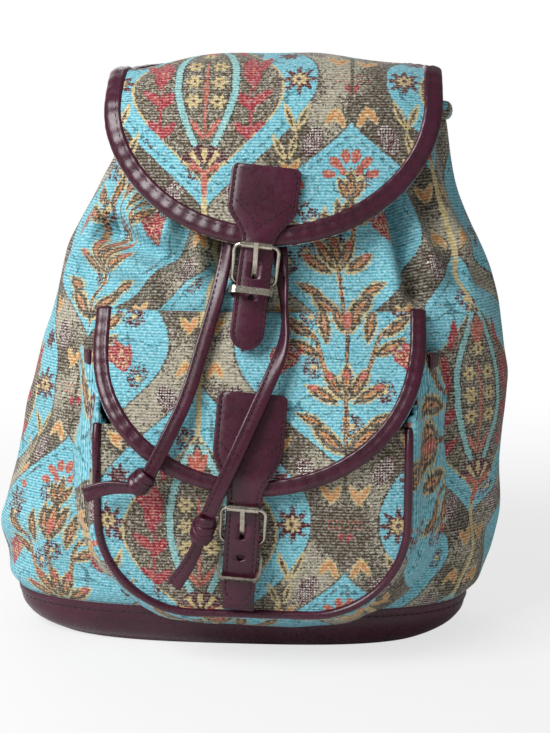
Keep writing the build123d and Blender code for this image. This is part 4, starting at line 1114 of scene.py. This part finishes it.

# The metalwork: roller buckles of bent wire, strip keepers, eyelets and strap adjusters, all plated in
# a pale warm nickel that is worn a little and darker in tarnished patches.
nickel = bpy.data.materials.new("worn_nickel")
nickel.use_nodes = True
plate = nickel.node_tree
plate_face = plate.nodes["Principled BSDF"]
plate_place = add_node(plate, "ShaderNodeTexCoord", {}, {}).outputs["Object"]
tarnish = add_noise(plate, plate_place, 260, 5, Roughness=0.65)[0]
scratches = add_noise(plate, plate_place, 1900, 2)[0]
aged = ranged(plate, tarnish, 0.42, 0.7, 0, 0.7)
plate.links.new(paint(plate, linear(198, 190, 176), aged, linear(128, 114, 96)),
                plate_face.inputs["Base Color"])
sheen = ranged(plate, scratches, 0.3, 0.7, 0.14, 0.3)
plate.links.new(sheen, plate_face.inputs["Roughness"])
plate_bump = add_node(plate, "ShaderNodeBump", {}, {
    "Strength": 0.2, "Distance": 0.0002, "Height": scratches})
plate.links.new(plate_bump.outputs[0], plate_face.inputs["Normal"])
plate_face.inputs["Metallic"].default_value = 1
for name in ("flap_buckle_frame", "flap_buckle_roller", "flap_buckle_prong", "flap_keeper",
             "pocket_buckle_frame", "pocket_buckle_roller", "pocket_buckle_prong", "pocket_keeper",
             "eyelet_left", "eyelet_right", "strap_adjuster_left", "strap_adjuster_right"):
    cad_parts[name].material_slots[0].material = nickel

# The drawstring: a folded and stitched strip of leather that comes out of two eyelets in the hem.
# Both ends hang down over the front, end in a knot and leave a short tail below it.
string_width, string_thickness, string_stitch_pitch = 8.6 * mm, 3.4 * mm, 3.6 * mm
front_look = np.array([0, -1, 0.15])


def strip_line(name, route):
    """The points along a smooth strip through its routing points."""
    curve = bpy.data.curves.new(name, "CURVE")
    curve.dimensions = "3D"
    curve.resolution_u = 24
    spline = curve.splines.new("NURBS")
    spline.points.add(len(route) - 1)
    for point, place in zip(spline.points, route):
        point.co = (*(value * mm for value in place), 1)
    spline.order_u = 3
    spline.use_endpoint_u = True
    guide = bpy.data.objects.new(name, curve)
    bpy.context.scene.collection.objects.link(guide)
    mesh = baked(guide)
    points = np.array([vertex.co for vertex in mesh.vertices])
    bpy.data.objects.remove(guide)
    bpy.data.meshes.remove(mesh)
    return even_line(points, 1.2 * mm)


def flat_strip(name, line, facing, widths, thickness, twist):
    """A flat rounded strip along a line, its face turned by a twist from where it looks."""
    heading = unit(np.gradient(line, axis=0))
    face = unit(facing - heading * np.sum(facing * heading, axis=1, keepdims=True))
    side = np.cross(heading, face)
    turn = np.radians(twist)[:, None]
    face, side = face * np.cos(turn) + side * np.sin(turn), side * np.cos(turn) - face * np.sin(turn)
    seam_place, seam_spread, seam_depth = 0.5, 0.18, 0.5 * mm
    wide, deep = rounded_ring(24, 0.6, 0.7)
    dent = seam_depth * np.exp(-((wide - seam_place) / seam_spread) ** 2) * (deep > 0)
    wide = wide * np.asarray(widths)[:, None] / 2
    deep = deep * thickness / 2 * (1 + soft_dents(line, 70, 0.2))[:, None] - dent
    rings = line[:, None] + side[:, None] * wide[..., None] + face[:, None] * deep[..., None]
    piece = loft_piece(name, rings, leather)
    seam_side = np.asarray(widths) * seam_place / 2
    seam = line + side * seam_side[:, None] + face * (thickness / 2 - seam_depth / 2)
    return piece, seam


def bump_twist(line, height, spread, degrees):
    """A twist that comes and goes round a height of a hanging strip."""
    return degrees * np.exp(-((line[:, 2] - height * mm) / (spread * mm)) ** 2)


def hung_strip(name, line, widths, twist, node, seam_name, sewn):
    """One length of string and its row of stitches, in front of the bag."""
    strip, seam = flat_strip(name, line, front_look, widths, string_thickness, twist)
    belongs(strip, "leather", node)
    return strip, sew(seam_name, [seam[sewn]], string_stitch_pitch)


def knot_piece(name, start, end, node):
    """An overhand knot: the strip wrapped round itself between two points, one turn across the others."""
    start, end = np.array(start) * mm, np.array(end) * mm
    axis = unit(end - start)
    side = unit(np.cross(axis, [0, 1, 0]))
    other = np.cross(axis, side)
    half = np.linalg.norm(end - start) / 2 + 0.5 * mm

    def wound(name, turn, radius, along, width, thickness):
        """A strip wound round the knot's middle."""
        radial = side * np.cos(turn)[:, None] + other * np.sin(turn)[:, None]
        line = (start + end) / 2 + radial * radius[:, None] + axis * along[:, None]
        return flat_strip(name, line, radial, np.full(len(turn), width), thickness, 0 * turn)[0]

    share = np.linspace(-1, 1, 110)
    wraps = wound(name, np.linspace(0, 4.6 * math.pi, 110), (3.8 + 1.6 * np.cos(share * 1.3)) * mm,
                  share * half * 0.72, 6.2 * mm, 2.8 * mm)
    ring_turn = np.linspace(0.3, 2 * math.pi - 0.3, 60)
    band = wound(name + "_band", ring_turn, np.full(60, 6 * mm), 0.55 * half * np.sin(ring_turn),
                 5.4 * mm, 2.6 * mm)
    form = bmesh.new()
    form.from_mesh(wraps.data)
    form.from_mesh(band.data)
    form.to_mesh(wraps.data)
    form.free()
    bpy.data.objects.remove(band)
    belongs(wraps, "leather", node)
    return wraps


string_routes = {
    "left": ([(-2, -50.9, 329), (-2.5, -58, 303), (-2, -67.5, 262), (-8, -76, 229), (-16.5, -90.5, 198),
              (-23, -105, 172), (-34, -114, 148), (-45, -117.5, 127)],
             [(-54, -117.5, 119), (-64, -117, 119.5), (-74, -116.5, 118), (-83, -116, 114)], (262, 30, 30)),
    "right": ([(27, -50.9, 329), (26.5, -58, 303), (27, -68, 262), (30.5, -77.5, 229), (33, -92, 201),
               (22, -107, 176), (9.5, -116.5, 148), (-1.5, -120.5, 124), (-10.5, -121, 104)],
              [(-15.5, -120.5, 89), (-19.5, -119.5, 79), (-25, -118.5, 69.5), (-31, -117.5, 61)],
              (216, 24, 70))}
for side, (route, tail_route, (height, spread, degrees)) in string_routes.items():
    line = strip_line("string_line_" + side, route)
    twist = bump_twist(line, height, spread, degrees)
    string, string_stitches = hung_strip("string_" + side, line, np.full(len(line), string_width), twist,
                                         "drawstring_" + side, "string_stitches_" + side, slice(6, -3))
    tail_line = strip_line("tail_line_" + side, tail_route)
    tail_widths = string_width * (0.8 + 0.3 * np.linspace(0, 1, len(tail_line)))
    tail_twist = np.linspace(-25, 8, len(tail_line))
    tail, tail_stitches = hung_strip("string_tail_" + side, tail_line, tail_widths, tail_twist,
                                     "drawstring_tail_" + side, "tail_stitches_" + side, slice(3, -1))
    knot = knot_piece("string_knot_" + side, route[-1], tail_route[0], "knot_" + side)

# The back: two padded leather shoulder straps caught under a yoke with a grab loop. Each runs down
# through an adjuster to a narrow strap that is sewn to a patch low on the sack.
yoke_center, strap_back, shoulder_thickness = 21.5 * mm, 58.2 * mm, 4 * mm


def padded_strip(name, line, across, width, thickness, node):
    """A leather strip with rounded edges and a soft middle, along a line, that lies across a direction."""
    heading = unit(np.gradient(line, axis=0))
    face = unit(np.cross(heading, across))
    wide, deep = rounded_ring(36, 0.4, 0.5)
    wide, deep = wide * width / 2, deep * thickness / 2
    seam_inset, seam_depth, seam_spread, thread_sink = 3 * mm, 0.5 * mm, 1.2 * mm, 0.2 * mm
    groove = seam_depth * np.exp(-((width / 2 - np.abs(wide)
                                    - seam_inset) / seam_spread) ** 2) * np.sign(deep)
    out = deep * (1 + soft_dents(line, 40, 0.25))[:, None] - groove
    rings = line[:, None] + np.multiply.outer(wide, across)[None] + out[..., None] * face[:, None]
    piece = loft_piece(name, rings, leather)
    belongs(piece, "leather", node)
    sides = [line + across * (edge * (width / 2 - seam_inset))
             + face * (layer * (thickness / 2 - thread_sink))
             for edge in (-1, 1) for layer in (-1, 1)]
    sew(name + "_stitches", [side[2:-2] for side in sides])
    return piece


def eased(corners, step, rounds=4):
    """A line through corners, cut back again and again until it is smooth."""
    line = np.array(corners)
    for _ in range(rounds):
        low, high = 0.75 * line[:-1] + 0.25 * line[1:], 0.25 * line[:-1] + 0.75 * line[1:]
        line = np.concatenate([line[:1], np.stack([low, high], 1).reshape(-1, 3), line[-1:]])
    return even_line(line, step)


def flat_patch(name, center, half_width, half_height, out, thickness, node):
    """A stitched leather patch with round corners on the back of the bag."""
    x, z = rounded_ring(72, 0.35, 0.35)
    rings = []
    for level, reach in ((0, 1), (0.6, 1), (0.9, 0.97), (1, 0.9), (0.9, 0.84), (1, 0.7), (1.08, 0.3)):
        rings.append(np.stack([center[0] + x * (half_width - (1 - reach) * half_height),
                               np.full(len(x), out + level * thickness),
                               center[1] + z * reach * half_height], -1))
    piece = loft_piece(name, np.array(rings), leather)
    belongs(piece, "leather", node)
    rim = rings[4] + [0, 0.1 * mm, 0]
    sew(name + "_stitches", [even_line(np.concatenate([rim, rim[:1]]), seam_step)])


patch_thickness, lay_gap = 2.5 * mm, 0.3 * mm
yoke_back = strap_back + shoulder_thickness + lay_gap
flat_patch("yoke_patch", (yoke_center, 301 * mm), 59 * mm, 11 * mm, yoke_back, patch_thickness,
           "strap_yoke")
loop_out = yoke_back + patch_thickness + lay_gap + 9 * mm
loop_half, loop_foot, loop_middle, loop_rise = 36 * mm, 295.5 * mm, 314.5, 38
loop_angle = np.linspace(math.pi, 0, 60)
loop_arch = np.stack([yoke_center + loop_half * np.cos(loop_angle), np.full(60, loop_out),
                      (loop_middle + loop_rise * np.sin(loop_angle)) * mm], -1)
loop_line = np.concatenate([[[yoke_center - loop_half, loop_out, loop_foot]], loop_arch,
                            [[yoke_center + loop_half, loop_out, loop_foot]]])
padded_strip("grab_loop_strip", even_line(loop_line, 1.5 * mm), np.array([0.0, 1.0, 0.0]), 18 * mm, 3 * mm,
             "grab_loop")

shoulder_top, shoulder_end, strap_foot = 311 * mm, 118 * mm, 42 * mm
anchor_out, webbing_lift, strap_bow = 60.6 * mm, 3.8 * mm, 40 * mm
held_length, straight_length, bow_place, end_bow = 30, 46, 0.58, 0.72
for side, sign in (("left", -1), ("right", 1)):
    top_x, foot_x = yoke_center + sign * 27 * mm, sign * 85 * mm
    splay = math.atan2(top_x - foot_x, shoulder_top - strap_foot)
    up = np.array([math.sin(splay), 0, math.cos(splay)])
    across = np.array([math.cos(splay), 0, -math.sin(splay)])
    head = np.array([top_x, strap_back + shoulder_thickness / 2, shoulder_top])
    fall = (shoulder_top - shoulder_end) / math.cos(splay)
    low = (shoulder_top - strap_foot) / math.cos(splay)
    back = np.array([0, strap_bow, 0])
    bend = [head, head - up * held_length * mm, head - up * straight_length * mm,
            head - up * fall * bow_place + back, head - up * fall + back * end_bow]
    shoulder = padded_strip("shoulder_pad_" + side, eased(bend, 2 * mm), across, 34 * mm,
                            shoulder_thickness, "shoulder_strap_" + side)
    strap_end = head - up * (fall + lay_gap) + back * end_bow
    foot = head - up * low
    foot[1] = anchor_out + webbing_lift
    padded_strip("webbing_" + side, eased([strap_end, foot, foot - up * 10 * mm], 2 * mm, 3), across,
                 20 * mm, 2 * mm, "lower_strap_" + side)
    flat_patch("anchor_patch_" + side, (foot_x, strap_foot), 17 * mm, 15 * mm, anchor_out, patch_thickness,
               "strap_anchor_" + side)

# Studio: a pale floor that runs out to white, wide soft lights, and the camera in front of the bag, a
# little to its right and above. The floor keeps the bag's shadow where the bag stands.
def white_to_camera(name, shade):
    """A pale surface that keeps shadows near the middle and is plain white to the camera further out."""
    material, tree = add_material(name)
    path = add_node(tree, "ShaderNodeLightPath", {}, {})
    place = add_node(tree, "ShaderNodeTexCoord", {}, {}).outputs["Object"]
    away = add_node(tree, "ShaderNodeVectorMath", {"operation": "LENGTH"}, {0: place}).outputs["Value"]
    grain = add_noise(tree, place, 6, 2)[0]
    spread = sums(tree, "MULTIPLY_ADD", grain, 0.1, away)
    plain = add_node(tree, "ShaderNodeMapRange", {"interpolation_type": "SMOOTHSTEP"}, {
        0: spread, 1: 0.3, 2: 0.9, 3: 0.7, 4: 1}).outputs[0]
    matt = add_node(tree, "ShaderNodeBsdfDiffuse", {}, {0: shade})
    glow = add_node(tree, "ShaderNodeEmission", {}, {0: (1, 1, 1, 1), 1: 1})
    white = sums(tree, "MULTIPLY", path.outputs["Is Camera Ray"], plain)
    mixed = add_node(tree, "ShaderNodeMixShader", {}, {0: white, 1: matt.outputs[0], 2: glow.outputs[0]})
    add_node(tree, "ShaderNodeOutputMaterial", {}, {0: mixed.outputs[0]})
    return material


floor_mesh = bpy.data.meshes.new("floor")
floor_mesh.from_pydata([(-6, -6, 0), (6, -6, 0), (6, 6, 0), (-6, 6, 0)], [], [(0, 1, 2, 3)])
floor_mesh.materials.append(white_to_camera("pale_floor", (0.8, 0.8, 0.8, 1)))
floor = bpy.data.objects.new("floor", floor_mesh)
bpy.context.scene.collection.objects.link(floor)

sky = bpy.data.worlds.new("studio")
sky.use_nodes = True
sky_tree = sky.node_tree
sky_tree.nodes.clear()
sky_path = add_node(sky_tree, "ShaderNodeLightPath", {}, {})
sky_seen = sums(sky_tree, "MAXIMUM", sky_path.outputs["Is Camera Ray"],
                sky_path.outputs["Is Transmission Ray"])
sky_strength = sums(sky_tree, "MULTIPLY_ADD", sky_seen, 0.75, 0.25)
sky_light = add_node(sky_tree, "ShaderNodeBackground", {}, {0: (1, 1, 1, 1), 1: sky_strength})
add_node(sky_tree, "ShaderNodeOutputWorld", {}, {0: sky_light.outputs[0]})
bpy.context.scene.world = sky


def soft_light(name, place, aim, size, power):
    """A square studio lamp turned towards a point."""
    lamp = bpy.data.lights.new(name, "AREA")
    lamp.size = size
    lamp.energy = power
    lit = bpy.data.objects.new(name, lamp)
    lit.location = place
    lit.rotation_mode = "QUATERNION"
    lit.rotation_quaternion = (Vector(aim) - Vector(place)).to_track_quat("-Z", "Y")
    bpy.context.scene.collection.objects.link(lit)


soft_light("window", (-0.9, -1.0, 1.15), (0, -0.05, 0.17), 0.9, 31)
soft_light("fill", (0.9, -1.2, 0.6), (0, 0, 0.17), 1.4, 0.8)
soft_light("rear", (-0.5, 1.2, 1.0), (0, 0, 0.2), 1.2, 8)

view_azimuth, view_elevation = math.radians(4), math.radians(10)
view_distance = 0.78
view_target = Vector((0.025, -0.072, 0.1835))
focal_pixels, frame_pixels = 1300, 733
lens = bpy.data.cameras.new("camera")
lens.sensor_width = 36
lens.lens = focal_pixels / frame_pixels * lens.sensor_width
camera = bpy.data.objects.new("camera", lens)
behind = Vector((math.sin(view_azimuth) * math.cos(view_elevation),
                 -math.cos(view_azimuth) * math.cos(view_elevation), math.sin(view_elevation)))
camera.location = view_target + view_distance * behind
camera.rotation_mode = "QUATERNION"
camera.rotation_quaternion = (-behind).to_track_quat("-Z", "Y")
lens.clip_start = 0.01
bpy.context.scene.collection.objects.link(camera)
bpy.context.scene.camera = camera
bpy.context.scene.view_settings.view_transform = "Standard"
